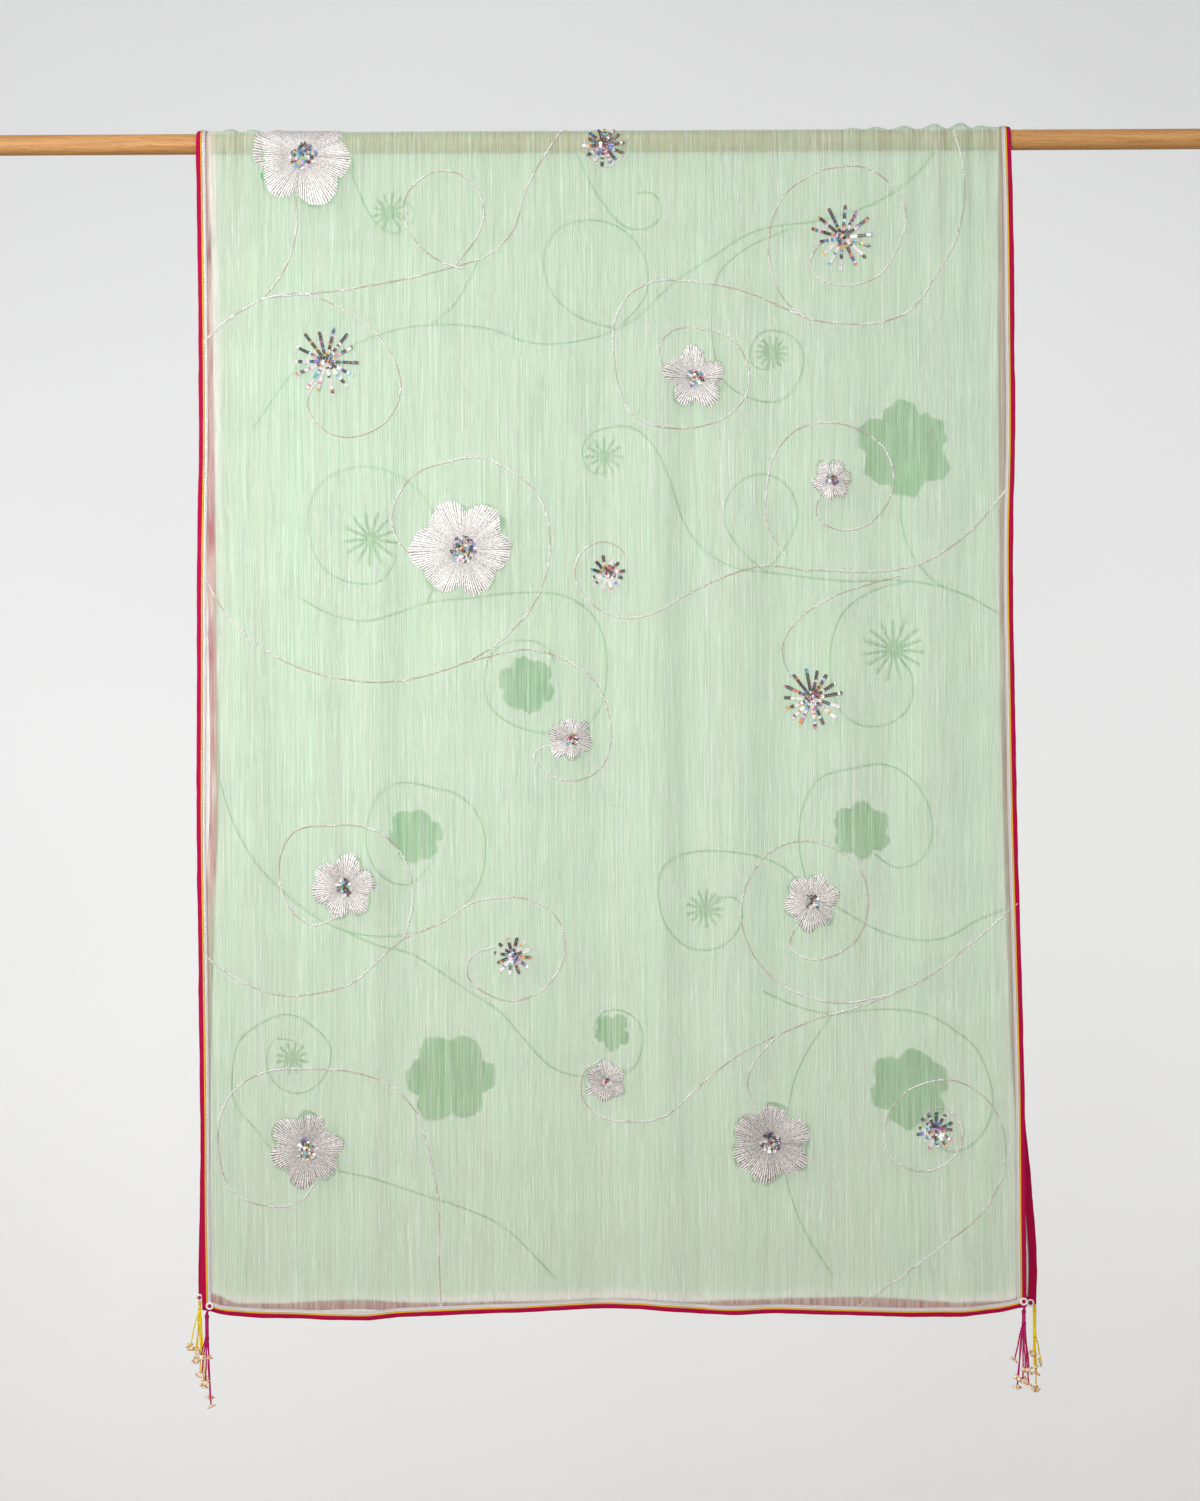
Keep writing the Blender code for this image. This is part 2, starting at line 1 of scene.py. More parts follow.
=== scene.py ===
"""The looks of a dupatta stole that hangs, folded over, on a plain wooden rod.

The stole is one long sheer mint cloth. It shows as a front fall, a turn over the rod and a back fall,
bound with crimson satin, yellow piping and silver lace, and worked with flowers, sequin bursts and
scrolling vines in silver thread. Rings and tassels hang at its four corners.

Lengths in the tables are in millimetres and MM turns them into metres. A place on the cloth is
(x, along): x is across the cloth, and along runs from 0 at the front of the rod, down the front fall
as negative numbers, and over the rod and down the back fall as positive ones. Seen from outside, a
shape that turns anticlockwise in (x, along) faces outwards everywhere.
"""

import math
from collections import namedtuple
from functools import lru_cache

import bpy
import numpy as np
from mathutils import Matrix, Vector


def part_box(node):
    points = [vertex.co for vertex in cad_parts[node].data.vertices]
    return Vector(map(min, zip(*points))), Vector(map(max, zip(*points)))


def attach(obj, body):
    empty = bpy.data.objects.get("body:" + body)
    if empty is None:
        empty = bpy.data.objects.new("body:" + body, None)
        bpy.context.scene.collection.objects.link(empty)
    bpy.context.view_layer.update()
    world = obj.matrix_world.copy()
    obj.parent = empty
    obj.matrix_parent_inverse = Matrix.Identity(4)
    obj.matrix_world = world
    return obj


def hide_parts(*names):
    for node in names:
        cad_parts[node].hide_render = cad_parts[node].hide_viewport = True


bl_info = {
    "name": "Dupatta stole on a rod",
    "version": (1, 0, 0),
    "blender": (4, 5, 0),
    "location": "3D View > Sidebar > Stole",
    "description": "Builds the cloth, trims, embroidery and tassels of a hanging dupatta stole",
    "category": "Add Mesh",
}

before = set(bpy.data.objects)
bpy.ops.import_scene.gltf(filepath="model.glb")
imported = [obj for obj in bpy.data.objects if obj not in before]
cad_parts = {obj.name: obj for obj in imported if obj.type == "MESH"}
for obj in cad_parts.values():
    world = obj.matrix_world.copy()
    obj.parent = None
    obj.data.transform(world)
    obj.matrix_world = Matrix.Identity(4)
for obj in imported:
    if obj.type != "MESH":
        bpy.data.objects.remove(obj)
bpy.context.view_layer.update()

MM = 0.001


def table(kind, *rows):
    """The rows of a table as named tuples of one kind."""
    return [kind(*row) for row in rows]


# ---------------------------------------------------------------------------------------------------
# The hung cloth's form, the same as in the part
# ---------------------------------------------------------------------------------------------------

GAP = 0.3
ROD_RADIUS = 10.75
WALL = 1.0
BORDER_WIDTH = 4.8
BORDER_FACING = 3.9
BORDER_DEPTH = 2.3
TURN_RADIUS = (ROD_RADIUS + GAP) / math.cos(math.pi / 16)
ARC = math.pi * (TURN_RADIUS + WALL)
FALL_LENGTH = 1238.0
CLOTH_LENGTH = FALL_LENGTH - BORDER_WIDTH - GAP
FLAT_EDGE = 12.0
EDGE_FADE = 26.0
EDGE_LIFT = 1.5

EdgeRow = namedtuple("EdgeRow", "drop left right left_out middle_out right_out")
FRONT_EDGES = table(
    EdgeRow,
    (0, -430.4, 430.4, 0.0, 0.0, 0.0),
    (78, -429.7, 432.0, 0.5, 0.2, 0.5),
    (196, -428.8, 432.6, 2.0, 1.0, 1.5),
    (314, -428.6, 432.8, 3.5, 2.0, 1.5),
    (433, -431.2, 429.7, 2.0, 3.0, 3.0),
    (580, -432.4, 430.6, 1.5, 4.0, 4.0),
    (728, -433.2, 432.7, 3.0, 5.0, 3.0),
    (876, -431.8, 436.1, 5.5, 5.5, 3.5),
    (1024, -430.9, 438.6, 5.0, 6.0, 6.0),
    (1142, -430.8, 438.6, 5.5, 6.5, 8.0),
    (FALL_LENGTH, -429.6, 439.0, 7.0, 7.0, 8.5),
)
BACK_EDGES = table(
    EdgeRow,
    (0, -430.4, 430.4, 0.0, 0.0, 0.0),
    (180, -427.5, 428.6, 1.0, 0.5, 0.6),
    (420, -425.3, 428.8, 3.0, 2.0, 2.5),
    (560, -423.3, 429.6, 2.6, 3.3, 3.8),
    (690, -422.8, 431.2, 3.0, 4.4, 4.6),
    (815, -428.8, 434.8, 4.3, 5.8, 5.0),
    (1000, -434.4, 441.0, 7.0, 7.0, 6.0),
    (1120, -436.6, 451.6, 8.0, 8.5, 8.5),
    (1195, -438.6, 456.6, 8.7, 9.2, 10.2),
    (FALL_LENGTH, -438.9, 455.4, 9.0, 9.5, 11.0),
)

HemRow = namedtuple("HemRow", "x drop")
FRONT_HEM = table(
    HemRow,
    (-430, 1230.5), (-411, 1236.5), (-386, 1239.6), (-330, 1241.9), (-276, 1244.0), (-220, 1241.0),
    (-164, 1238.9), (-82, 1235.2), (-14, 1233.6), (42, 1234.2), (110, 1239.4), (165, 1239.0),
    (248, 1241.5), (330, 1243.4), (385, 1241.6), (412, 1238.9), (439, 1232.5),
)
BACK_HEM = table(
    HemRow,
    (-439, 1229.5), (-424, 1231.5), (-402, 1240.8), (-370, 1243.0), (-300, 1239.8), (-204, 1242.5),
    (-100, 1242.3), (0, 1240.0), (100, 1243.4), (210, 1239.7), (300, 1241.0), (393, 1246.0),
    (424, 1244.4), (443, 1239.6), (455, 1239.0),
)

# The soft folds down a fall: a ridge has a positive height and a trough a negative one
Fold = namedtuple("Fold", "start end x_start x_end half_width height")
FOLD_FADE = 0.3
FRONT_FOLDS = table(
    Fold,
    (330, 1190, -390, -366, 30, 5.0), (420, 1010, -350, -318, 30, -4.0),
    (200, 1150, -312, -292, 34, 3.5), (180, 1238, -245, -252, 32, 5.5),
    (120, 1050, -196, -202, 34, -4.5), (90, 1238, -106, -92, 64, 6.0), (40, 1238, -4, -6, 34, -5.5),
    (20, 1238, 50, 58, 34, 6.0), (140, 1120, 90, 86, 31, -4.5), (210, 1238, 132, 136, 44, 6.0),
    (30, 1150, 180, 192, 40, -5.5), (30, 980, 240, 258, 42, 4.5), (110, 1040, 298, 306, 34, -3.5),
    (90, 1120, 352, 338, 44, 3.5), (980, 1238, 412, 372, 30, 5.0),
)
BACK_FOLDS = table(
    Fold,
    (260, 1238, -384, -372, 32, 4.5), (60, 1100, -330, -338, 32, -4.0), (120, 1238, -268, -258, 46, 5.5),
    (40, 1150, -190, -176, 36, -5.0), (30, 1238, -128, -120, 34, 6.0), (300, 1238, -62, -56, 30, -4.0),
    (180, 1120, 4, -8, 46, 5.0), (60, 1238, 74, 70, 34, -5.0), (20, 1238, 132, 128, 38, 6.0),
    (220, 1060, 196, 204, 36, -4.5), (60, 1238, 262, 270, 44, 5.0), (100, 1130, 330, 342, 36, -4.0),
    (420, 1238, 388, 402, 30, 5.0),
)

Gather = namedtuple("Gather", "x half_width height fade")
GATHERS = table(
    Gather,
    (-396, 13, 4.0, 150), (-371, 13, 3.0, 110), (-346, 12, 1.5, 70), (264, 12, 1.5, 90),
    (289, 13, 2.5, 120), (318, 14, 3.5, 160), (350, 15, 5.5, 210), (378, 14, 6.0, 230),
    (402, 13, 5.0, 170),
)

# ---------------------------------------------------------------------------------------------------
# The embroidery, set out on the cloth. Front drops are below the rod on the front fall, and
# a negative one is over the rod. Back drops are the same on the back fall.
# ---------------------------------------------------------------------------------------------------

# The last column is painted light: lower flowers are painted duller, as less light reaches them.
Flower = namedtuple("Flower", "x drop radius petals turn shine")
FRONT_FLOWERS = table(
    Flower,
    (-317, 15, 53, 6, 50, 1.0), (95, 252, 33, 5, 92, 1.0), (-151, 432, 53, 6, 55, 1.0),
    (239, 360, 22, 6, 10, 0.95), (-38, 635, 24, 6, 40, 1.0), (-278, 784, 34, 6, 75, 0.95),
    (215, 804, 31, 6, 15, 0.92), (-319, 1060, 40, 6, 78, 0.82), (-3, 998, 22, 6, 30, 0.85),
    (170, 1058, 42, 6, 82, 0.8),
)
BACK_FLOWERS = table(
    Flower,
    (318, 325, 50, 6, 25, 0.9), (-84, 573, 30, 6, 15, 0.95), (-205, 732, 29, 6, 50, 0.95),
    (272, 729, 31, 6, 30, 0.9), (-167, 988, 48, 6, 0, 0.9), (4, 944, 20, 5, 20, 0.9),
    (321, 1004, 41, 6, 40, 0.85),
)

Burst = namedtuple("Burst", "x drop radius rays turn")
FRONT_BURSTS = table(
    Burst,
    (0, 6, 22, 14, 5), (252, 105, 33, 14, 10), (-294, 232, 35, 14, 0), (1, 460, 19, 12, 12),
    (217, 590, 32, 15, 8), (-100, 862, 20, 12, 20), (344, 1043, 20, 13, 0),
)
BACK_BURSTS = table(
    Burst,
    (178, 222, 18, 14, 6), (-1, 331, 21, 12, 0), (-251, 417, 30, 13, 9), (306, 538, 33, 15, 4),
    (104, 811, 21, 13, 0), (-337, 968, 18, 12, 15), (-228, 71, 21, 13, 3),
)

# The vines, each a soft curve through a few (x, drop) places
FRONT_VINES = [
    [(-422, 212), (-400, 190), (-360, 165)],
    [(-325, 60), (-325, 95), (-340, 140), (-360, 165)],
    [(-360, 165), (-265, 155), (-165, 135), (-120, 120), (-95, 95), (-85, 60), (-65, 20), (-45, -10),
     (-30, -45), (-5, -95), (30, -130), (60, -120), (55, -90), (35, -90)],
    [(-150, 135), (-173, 128), (-193, 113), (-208, 92), (-213, 70), (-197, 42), (-169, 31), (-139, 44),
     (-126, 76), (-134, 102), (-157, 131)],
    [(-360, 165), (-320, 160), (-280, 175), (-250, 195), (-225, 225), (-215, 255), (-225, 290),
     (-255, 310), (-285, 310), (-310, 290), (-315, 270), (-305, 255)],
    [(370, -5), (380, 35), (370, 110), (350, 145), (325, 180), (285, 195), (250, 195), (215, 190),
     (190, 170), (175, 135), (175, 95), (190, 60), (215, 40), (245, 30), (275, 30), (300, 45),
     (320, 80), (310, 115), (290, 145), (260, 155), (230, 150), (215, 130), (230, 110)],
    [(215, 190), (145, 160), (90, 150), (55, 150), (25, 165), (10, 195), (10, 230), (15, 265),
     (30, 295), (60, 305), (90, 305), (125, 295), (150, 270), (150, 235), (135, 210), (105, 200),
     (75, 200), (55, 225), (65, 245)],
    [(-424, 460), (-400, 500), (-380, 520), (-335, 550), (-280, 565), (-230, 570), (-175, 560),
     (-135, 545), (-100, 520), (-75, 490), (-60, 445), (-60, 405), (-75, 370), (-100, 350),
     (-130, 335), (-170, 340), (-200, 350), (-220, 375), (-225, 410), (-205, 440)],
    [(-145, 550), (-75, 540), (-45, 550), (-15, 570), (0, 600), (5, 635), (-5, 665), (-35, 680),
     (-65, 670), (-80, 650), (-60, 640)],
    [(24, 448), (19, 436), (9, 428), (-5, 425), (-19, 430), (-30, 442), (-34, 456), (-30, 472),
     (-19, 489), (-4, 500), (21, 507), (47, 504), (74, 488), (100, 473), (130, 460), (170, 450),
     (210, 455)],
    [(190, 440), (170, 405), (170, 370), (180, 330), (205, 305), (245, 300), (275, 310), (295, 325),
     (305, 360), (295, 390), (270, 410), (235, 410), (220, 395), (225, 380)],
    [(210, 455), (295, 455), (325, 450), (365, 430), (395, 405), (423, 372)],
    [(310, 460), (275, 470), (235, 485), (200, 510), (185, 535), (195, 570)],
    [(-425, 862), (-405, 875), (-375, 890), (-335, 900), (-305, 895), (-270, 885), (-240, 860),
     (-215, 840), (-175, 825), (-145, 805), (-115, 800), (-75, 805), (-55, 820), (-45, 850),
     (-50, 875), (-70, 900), (-100, 910), (-130, 900), (-150, 880), (-145, 860), (-120, 852)],
    [(-215, 840), (-205, 800), (-215, 755), (-235, 730), (-260, 720), (-300, 720), (-330, 725),
     (-345, 750), (-345, 785), (-335, 810), (-310, 825), (-280, 812)],
    [(-178, 1227), (-180, 1170), (-180, 1115), (-190, 1065), (-205, 1020), (-235, 990), (-285, 975),
     (-320, 975), (-365, 980), (-395, 1000), (-410, 1030), (-410, 1075), (-400, 1105), (-365, 1120),
     (-325, 1115), (-310, 1095)],
    [(431, 812), (380, 850), (340, 880), (300, 900), (260, 915), (225, 925), (180, 945), (145, 960),
     (110, 985), (85, 1010), (55, 1035), (20, 1040), (-10, 1035), (-30, 1010), (-25, 985), (-8, 975)],
    [(300, 900), (235, 910), (180, 890), (150, 855), (140, 810), (155, 770), (175, 750), (215, 740),
     (245, 750), (270, 775), (275, 805), (265, 840), (240, 860), (210, 865), (190, 850), (200, 830)],
    [(258, 1230), (293, 1206), (358, 1158), (388, 1135), (412, 1100), (418, 1062), (408, 1026),
     (390, 1004), (362, 990), (335, 992), (307, 1007), (291, 1037), (294, 1067), (320, 1085),
     (349, 1082), (368, 1066), (374, 1046), (365, 1027), (343, 1017), (333, 1024), (332, 1033)],
    [(180, 945), (155, 970), (145, 995), (155, 1022)],
    [(-20, 0), (-15, 20), (0, 30), (20, 20), (25, 0)],
]
BACK_VINES = [
    [(-375, 300), (-355, 270), (-330, 240), (-265, 210), (-220, 195), (-165, 190), (-120, 195),
     (-80, 210), (-35, 210), (5, 200), (40, 180), (70, 150), (115, 120), (155, 95), (240, 80),
     (305, 55), (345, 20), (368, -20)],
    [(10, 195), (-25, 185), (-60, 150), (-65, 120), (-50, 90), (-15, 80), (20, 90), (45, 125),
     (45, 160), (20, 190)],
    [(200, 90), (145, 115), (120, 140), (115, 170), (115, 210), (130, 255), (155, 270), (185, 275),
     (210, 245), (210, 215), (190, 200), (165, 200), (155, 215), (160, 240), (175, 240)],
    [(0, 350), (-15, 350), (-25, 330), (-20, 310), (5, 300), (30, 300), (55, 325), (70, 360),
     (85, 405), (105, 430), (140, 450), (170, 455), (255, 465), (325, 465), (375, 475), (422, 500)],
    [(170, 455), (140, 425), (125, 395), (140, 360), (170, 350), (195, 365), (205, 395), (190, 430),
     (170, 455)],
    [(315, 370), (315, 405), (325, 435), (350, 465), (390, 480)],
    [(325, 465), (285, 475), (255, 495), (240, 530), (240, 575), (250, 605), (275, 620), (305, 615),
     (325, 595), (325, 565)],
    [(-190, 485), (-170, 425), (-185, 385), (-205, 360), (-230, 345), (-260, 340), (-300, 355),
     (-315, 380), (-315, 415), (-300, 450), (-265, 465), (-235, 460), (-225, 440)],
    [(-325, 480), (-300, 495), (-260, 505), (-220, 495), (-190, 485), (-145, 480), (-100, 475),
     (-70, 475), (-40, 480), (-10, 505), (0, 535), (0, 570), (-5, 595), (-25, 620), (-55, 625),
     (-100, 615), (-125, 595), (-130, 560), (-120, 535), (-85, 525), (-60, 535), (-55, 550)],
    [(-418, 660), (-395, 725), (-375, 760), (-345, 790), (-310, 820), (-280, 835), (-245, 840),
     (-205, 835), (-170, 820), (-140, 790), (-130, 755), (-135, 715), (-155, 690), (-190, 680),
     (-220, 675), (-245, 690), (-255, 715), (-255, 755), (-235, 780), (-210, 785), (-190, 765)],
    [(-280, 835), (-245, 850), (-215, 855), (-180, 875), (-145, 900), (-115, 920), (-85, 955),
     (-60, 980), (-35, 990), (-5, 990), (25, 985), (35, 965), (35, 935), (15, 920), (-10, 925),
     (-15, 940)],
    [(115, 800), (140, 800), (145, 820), (125, 850), (95, 855), (65, 835), (55, 805), (60, 765),
     (90, 750), (120, 750), (155, 755), (190, 770), (215, 795), (250, 815), (285, 835), (320, 845),
     (365, 840), (390, 825), (428, 810)],
    [(215, 795), (205, 755), (210, 700), (225, 675), (260, 665), (300, 660), (330, 680), (345, 710),
     (345, 740), (335, 760), (305, 770), (285, 755)],
    [(165, 900), (195, 915), (230, 925), (300, 920), (345, 925), (370, 940), (390, 955), (405, 985),
     (410, 1025), (395, 1055), (365, 1070), (330, 1035)],
    [(240, 925), (215, 960), (200, 990), (190, 1035), (185, 1075), (190, 1105), (205, 1150),
     (238, 1205)],
    [(-335, 950), (-355, 945), (-365, 965), (-360, 990), (-340, 1005), (-320, 1005), (-300, 985),
     (-295, 960), (-315, 935), (-340, 920), (-370, 930), (-395, 950), (-400, 975), (-400, 1015),
     (-375, 1045), (-360, 1065), (-290, 1090), (-245, 1100), (-195, 1115), (-150, 1130),
     (-105, 1155), (-80, 1180), (-57, 1205)],
    [(-268, 30), (-260, 50), (-245, 80), (-225, 95), (-205, 85), (-200, 65), (-215, 60)],
    [(-130, 115), (-145, 145), (-160, 170), (-185, 190)],
]

# The side is the sign of y that a fall faces, and the random draws on it start from its seed
Fall = namedtuple("Fall", "name side edges hem folds flowers bursts vines seed")
FRONT = Fall("front", -1, FRONT_EDGES, FRONT_HEM, FRONT_FOLDS, FRONT_FLOWERS, FRONT_BURSTS, FRONT_VINES, 100)
BACK = Fall("back", 1, BACK_EDGES, BACK_HEM, BACK_FOLDS, BACK_FLOWERS, BACK_BURSTS, BACK_VINES, 200)
FALLS = (FRONT, BACK)

# ---------------------------------------------------------------------------------------------------
# Finer sizes
# ---------------------------------------------------------------------------------------------------

# The sheet's grid: columns across, rows down a fall, and rows over the rod
CLOTH_COLUMNS, FALL_STEPS, TURN_STEPS = 730, 130, 16
CLOTH_SINK = 0.25

# The sheer strips beside the trims: cover and painted light as shares, then where they start and end. The
# painted light is a pale cream that brightens the strips and the trims seen through them. Their patches and
# threads are given by their size across and along.
SIDE_COVER, SIDE_PATCHES, SIDE_CREAM_LIGHT, RIGHT_SHARE = 0.42, 0.8, 0.95, 0.2
HEM_COVER, HEM_CREAM_LIGHT = 0.74, 0.7
SHEER_START, SIDE_REACH, HEM_REACH, SIDE_SHEER_END, SIDE_SHEER_FADE = 10.0, 8.0, 4.0, 760.0, 90.0
SIDE_PATCH, SIDE_THREAD, HEM_THREAD = (9.0, 38.0), (2.2, 17.0), (1.6, 30.0)

# Crinkles: bands of creases, each by its width across, its length down the cloth and its height
Crinkle = namedtuple("Crinkle", "width length height seed")
CRINKLES = [Crinkle(12.0, 190, 0.50, 11), Crinkle(7.0, 130, 0.38, 12), Crinkle(4.4, 90, 0.20, 13)]
CRINKLE_SHARPNESS = 0.55
ROD_CREASING, ROD_CREASE_REACH, ROD_HOLD = 1.1, 32.0, 16.0
DRIFT_WIDTH, DRIFT_LENGTH, DRIFT_REACH = 42.0, 150.0, 7.0
PATCH_WIDTH, PATCH_LENGTH = 90.0, 170.0
CALM_START, CALM_END, CALM_REST = 0.85, 1.35, 0.12
PUCKER_REACH, PUCKER_SPACING, PUCKER_SLANT, PUCKER_HEIGHT = 42.0, 17.0, 0.7, 1.1
PUCKER_WIDTH, PUCKER_START = 60.0, 14.0
TRIM_CALM, TRIM_FADE = 5.0, 9.0
NOISE_SIZE = 512

# Petals are overlapping discs round a flower's middle, as shares of its radius
PETAL_CENTRE, PETAL_RADIUS = 0.60, 0.41
RIM_WAVE, RIM_WAVES = 0.06, 3.2
THREAD_PITCH, THREAD_LENGTH, THREAD_CREST = 2.6, 5.6, 0.14
PETAL_ROW, STITCH_SEAT = 1.7, 0.15
FLOWER_EYE = 0.16
FLOWER_HEART = 0.27

SEQUIN_RADIUS, SEQUIN_STEP = 1.9, 2.4
SEQUIN_TILT = 16.0
VIVID_SHARE = 0.24
BURST_HEART = 4.6
BEAD_RADIUS = 1.25

STITCH_STEP, STITCH_LENGTH, STITCH_WIDTH, STITCH_RUN = 3.3, 4.0, 2.1, 4.5
SOFTENING = 2.4
RIBBON_WIDTH, RAY_WIDTH = 1.5, 1.9
# The couched thread's colour where no glint is painted on it.
DULL_THREAD = np.array([0.80, 0.66, 0.64])

# Colours that sequins flash, from dark to bright, as linear red, green and blue. They are painted
# reflections, set in each sequin's base colour.
DARK_FLASHES = [(0.10, 0.035, 0.05), (0.12, 0.06, 0.04), (0.04, 0.05, 0.10), (0.16, 0.07, 0.05),
                (0.06, 0.09, 0.07), (0.20, 0.06, 0.09), (0.12, 0.09, 0.10)]
BRIGHT_FLASHES = [(1.0, 0.98, 0.98), (1.0, 1.0, 0.97), (0.98, 0.86, 0.93), (1.0, 0.95, 0.88),
                  (0.86, 0.80, 0.88)]
RARE_FLASHES = [(0.80, 0.30, 0.12), (0.42, 0.24, 0.72), (0.10, 0.24, 0.60), (0.78, 0.22, 0.45),
                (0.16, 0.55, 0.66), (0.85, 0.62, 0.15)]

# Corner rings and tassels: the part's places and sizes, in finer steps and with bindings and knots
RING_RADIUS, RING_WIRE = 3.1, 1.0
RING_STEPS, RING_SIDES = 44, 12
RING_KNOBS, RING_KNOB = 11, 0.09
TRIM_WALL = 1.0
THREAD_ROOT = 3.0
PLY_TURN = 19.0
KNOT_RADIUS = 1.15
THREAD_BEND_SPREAD, THREAD_BEND_DROP = 0.6, 0.5
LEAD_RADIUS, LEAD_REACH = 0.7, 2.5
THREAD_SIDES = 8
WRAP_TURNS, WRAP_RADIUS, WRAP_SIDES = 3, 0.45, 6
FRONT_FULLNESS, BACK_FULLNESS = 0.85, 1.2
CUP_RADIUS, CUP_HEIGHT = 5.2, 3.0
CUP_STEPS, CUP_SKIN = 36, 0.35
Cup = namedtuple("Cup", "x out drop tilt")
Corner = namedtuple(
    "Corner", "fall side ring_inset ring_rise tassel_inset stalk_length stalk_radius thread_radius cups")
CORNERS = [
    Corner(FRONT, -1, 8.4, 3.3, 5.0, 28, 2.2, 0.95, [
        Cup(1.8, 1.0, 45.5, 8), Cup(-6.0, -2.0, 45, -12), Cup(-5.8, 1.5, 64, 15),
        Cup(-1.5, -2.0, 71.5, -20), Cup(2.4, 2.5, 88, 8), Cup(4.0, -1.0, 97, -25)]),
    Corner(FRONT, 1, 3.5, 5.6, 3.1, 16, 2.2, 0.95, [
        Cup(-9.5, 1.0, 52.5, 40), Cup(0.8, -2.5, 62, -15), Cup(5.5, 2.0, 66, 20), Cup(-7.0, -2.5, 70, 12),
        Cup(-1.0, 2.5, 74, -30), Cup(4.5, -2.0, 77.5, 25), Cup(-7.0, 1.5, 81, 5)]),
    Corner(BACK, -1, 1.2, 3.4, 1.4, 8, 1.3, 0.6, [
        Cup(-10.0, 1.5, 47.5, 8), Cup(-3.6, -2.0, 50, -6), Cup(1.6, 2.0, 55, 5),
        Cup(-4.8, 1.0, 61.5, -12), Cup(-0.4, -2.5, 78, 25), Cup(5.0, 2.0, 81, -15),
        Cup(4.2, -1.5, 89, 20)]),
    Corner(BACK, 1, 6.6, 2.4, 2.1, 34, 1.8, 0.7, [
        Cup(-1.8, 1.0, 50, 10), Cup(7.5, -2.0, 61, 75), Cup(-1.0, 2.5, 64, -12), Cup(2.0, -2.5, 72, 20),
        Cup(1.2, 1.0, 88, 0)]),
]

# The view: the camera stands level with the middle of the picture and is rolled very slightly
CAMERA_PLACE = (-0.0072, -3.2, -0.6448)
CAMERA_ROLL = 0.00542
CAMERA_LENS = 72.4

# The key light's beam, which fades towards the stole's right side and its hems
KEY_SPREAD = math.radians(36)

# The stage in metres: how far it reaches to each side, its front and back, its floor and the wall's top
STAGE_SIDE, STAGE_FRONT, STAGE_BACK, STAGE_FLOOR, STAGE_TOP = 16.0, -12.0, 6.5, -3.2, 9.0


# ---------------------------------------------------------------------------------------------------
# Shape: curves and noise
# ---------------------------------------------------------------------------------------------------

def smoothstep(t):
    """Rises from 0 to 1 with level ends: 3t^2 - 2t^3."""
    t = np.clip(t, 0.0, 1.0)
    return t * t * (3 - 2 * t)


def stack(*values):
    """Numbers or arrays, spread to one shape and set side by side along a new last axis."""
    return np.stack(np.broadcast_arrays(*values), axis=-1)


def round_angles(number):
    """Angles evenly round a circle."""
    return np.linspace(0, 2 * math.pi, number, endpoint=False)


def bent(start, bend, end, t):
    """A curve from start to end that is drawn towards bend: shares (1-t)^2, 2t(1-t) and t^2."""
    return start * (1 - t) ** 2 + bend * 2 * t * (1 - t) + end * t * t


def smooth(at, places, values):
    """A cubic Hermite curve through the values at the places, read at one or many points."""
    places, values = np.asarray(places, float), np.asarray(values, float)
    at = np.clip(at, places[0], places[-1])
    slopes = np.gradient(values, places)
    i = np.clip(np.searchsorted(places, at, side="right") - 1, 0, len(places) - 2)
    width = places[i + 1] - places[i]
    t = (at - places[i]) / width
    rise = smoothstep(t)
    bend = t * (1 - t) ** 2 * slopes[i] - t * t * (1 - t) * slopes[i + 1]
    return values[i] * (1 - rise) + values[i + 1] * rise + bend * width


def read(rows, at, by, name):
    """One column of a table as a smooth curve against another column."""
    return smooth(at, [getattr(row, by) for row in rows], [getattr(row, name) for row in rows])


@lru_cache(maxsize=None)
def noise_table(seed):
    """Random values from -1 to 1 in a square."""
    return np.random.default_rng(seed).uniform(-1, 1, (NOISE_SIZE, NOISE_SIZE))


def noise(u, v, seed):
    """Smooth noise from -1 to 1: random values at whole numbers, blended by smoothstep between them."""
    values = noise_table(seed)
    i, j = np.floor(u).astype(int), np.floor(v).astype(int)
    s, t = smoothstep(u - i), smoothstep(v - j)
    left, right = i % NOISE_SIZE, (i + 1) % NOISE_SIZE
    low, high = (values[left, row % NOISE_SIZE] * (1 - s) + values[right, row % NOISE_SIZE] * s
                 for row in (j, j + 1))
    return low * (1 - t) + high * t


# ---------------------------------------------------------------------------------------------------
# Shape: the hung cloth
# ---------------------------------------------------------------------------------------------------

def place_on(fall, x, drop):
    """A place on the cloth, as (x, along), from a drop on one fall, negative to pass over the rod."""
    return x, -drop if fall is FRONT else ARC + drop


def drop_at(along):
    """Where a distance along the cloth is on the back half, and how far it is below the rod."""
    back = along > ARC / 2
    return back, np.maximum(np.where(back, along - ARC, -along), 0)


def cloth_edges(fall, drop):
    """The cloth's own left and right edges, which lie inside the border."""
    inset = BORDER_WIDTH + GAP
    return read(fall.edges, drop, "drop", "left") + inset, read(fall.edges, drop, "drop", "right") - inset


def gather_height(x, drop):
    """How far the gathers lift the cloth: squared cosines across, fading down from the rod."""
    height = np.zeros(np.shape(x))
    for gather in GATHERS:
        across = np.clip((x - gather.x) / gather.half_width, -1, 1)
        height += gather.height * np.cos(across * math.pi / 2) ** 2 * (1 - smoothstep(drop / gather.fade))
    return height


def fold_height(fall, x, drop):
    """How far the soft folds lift the cloth: squared cosines across a slanting line, fading at its ends."""
    height = np.zeros(np.shape(x))
    for fold in fall.folds:
        along = (drop - fold.start) / (fold.end - fold.start)
        middle = fold.x_start + (fold.x_end - fold.x_start) * along
        across = np.clip((x - middle) / fold.half_width, -1, 1)
        ends = smoothstep(along / FOLD_FADE)
        if fold.end < CLOTH_LENGTH:
            ends = ends * smoothstep((1 - along) / FOLD_FADE)
        height += fold.height * np.cos(across * math.pi / 2) ** 2 * ends
    return height


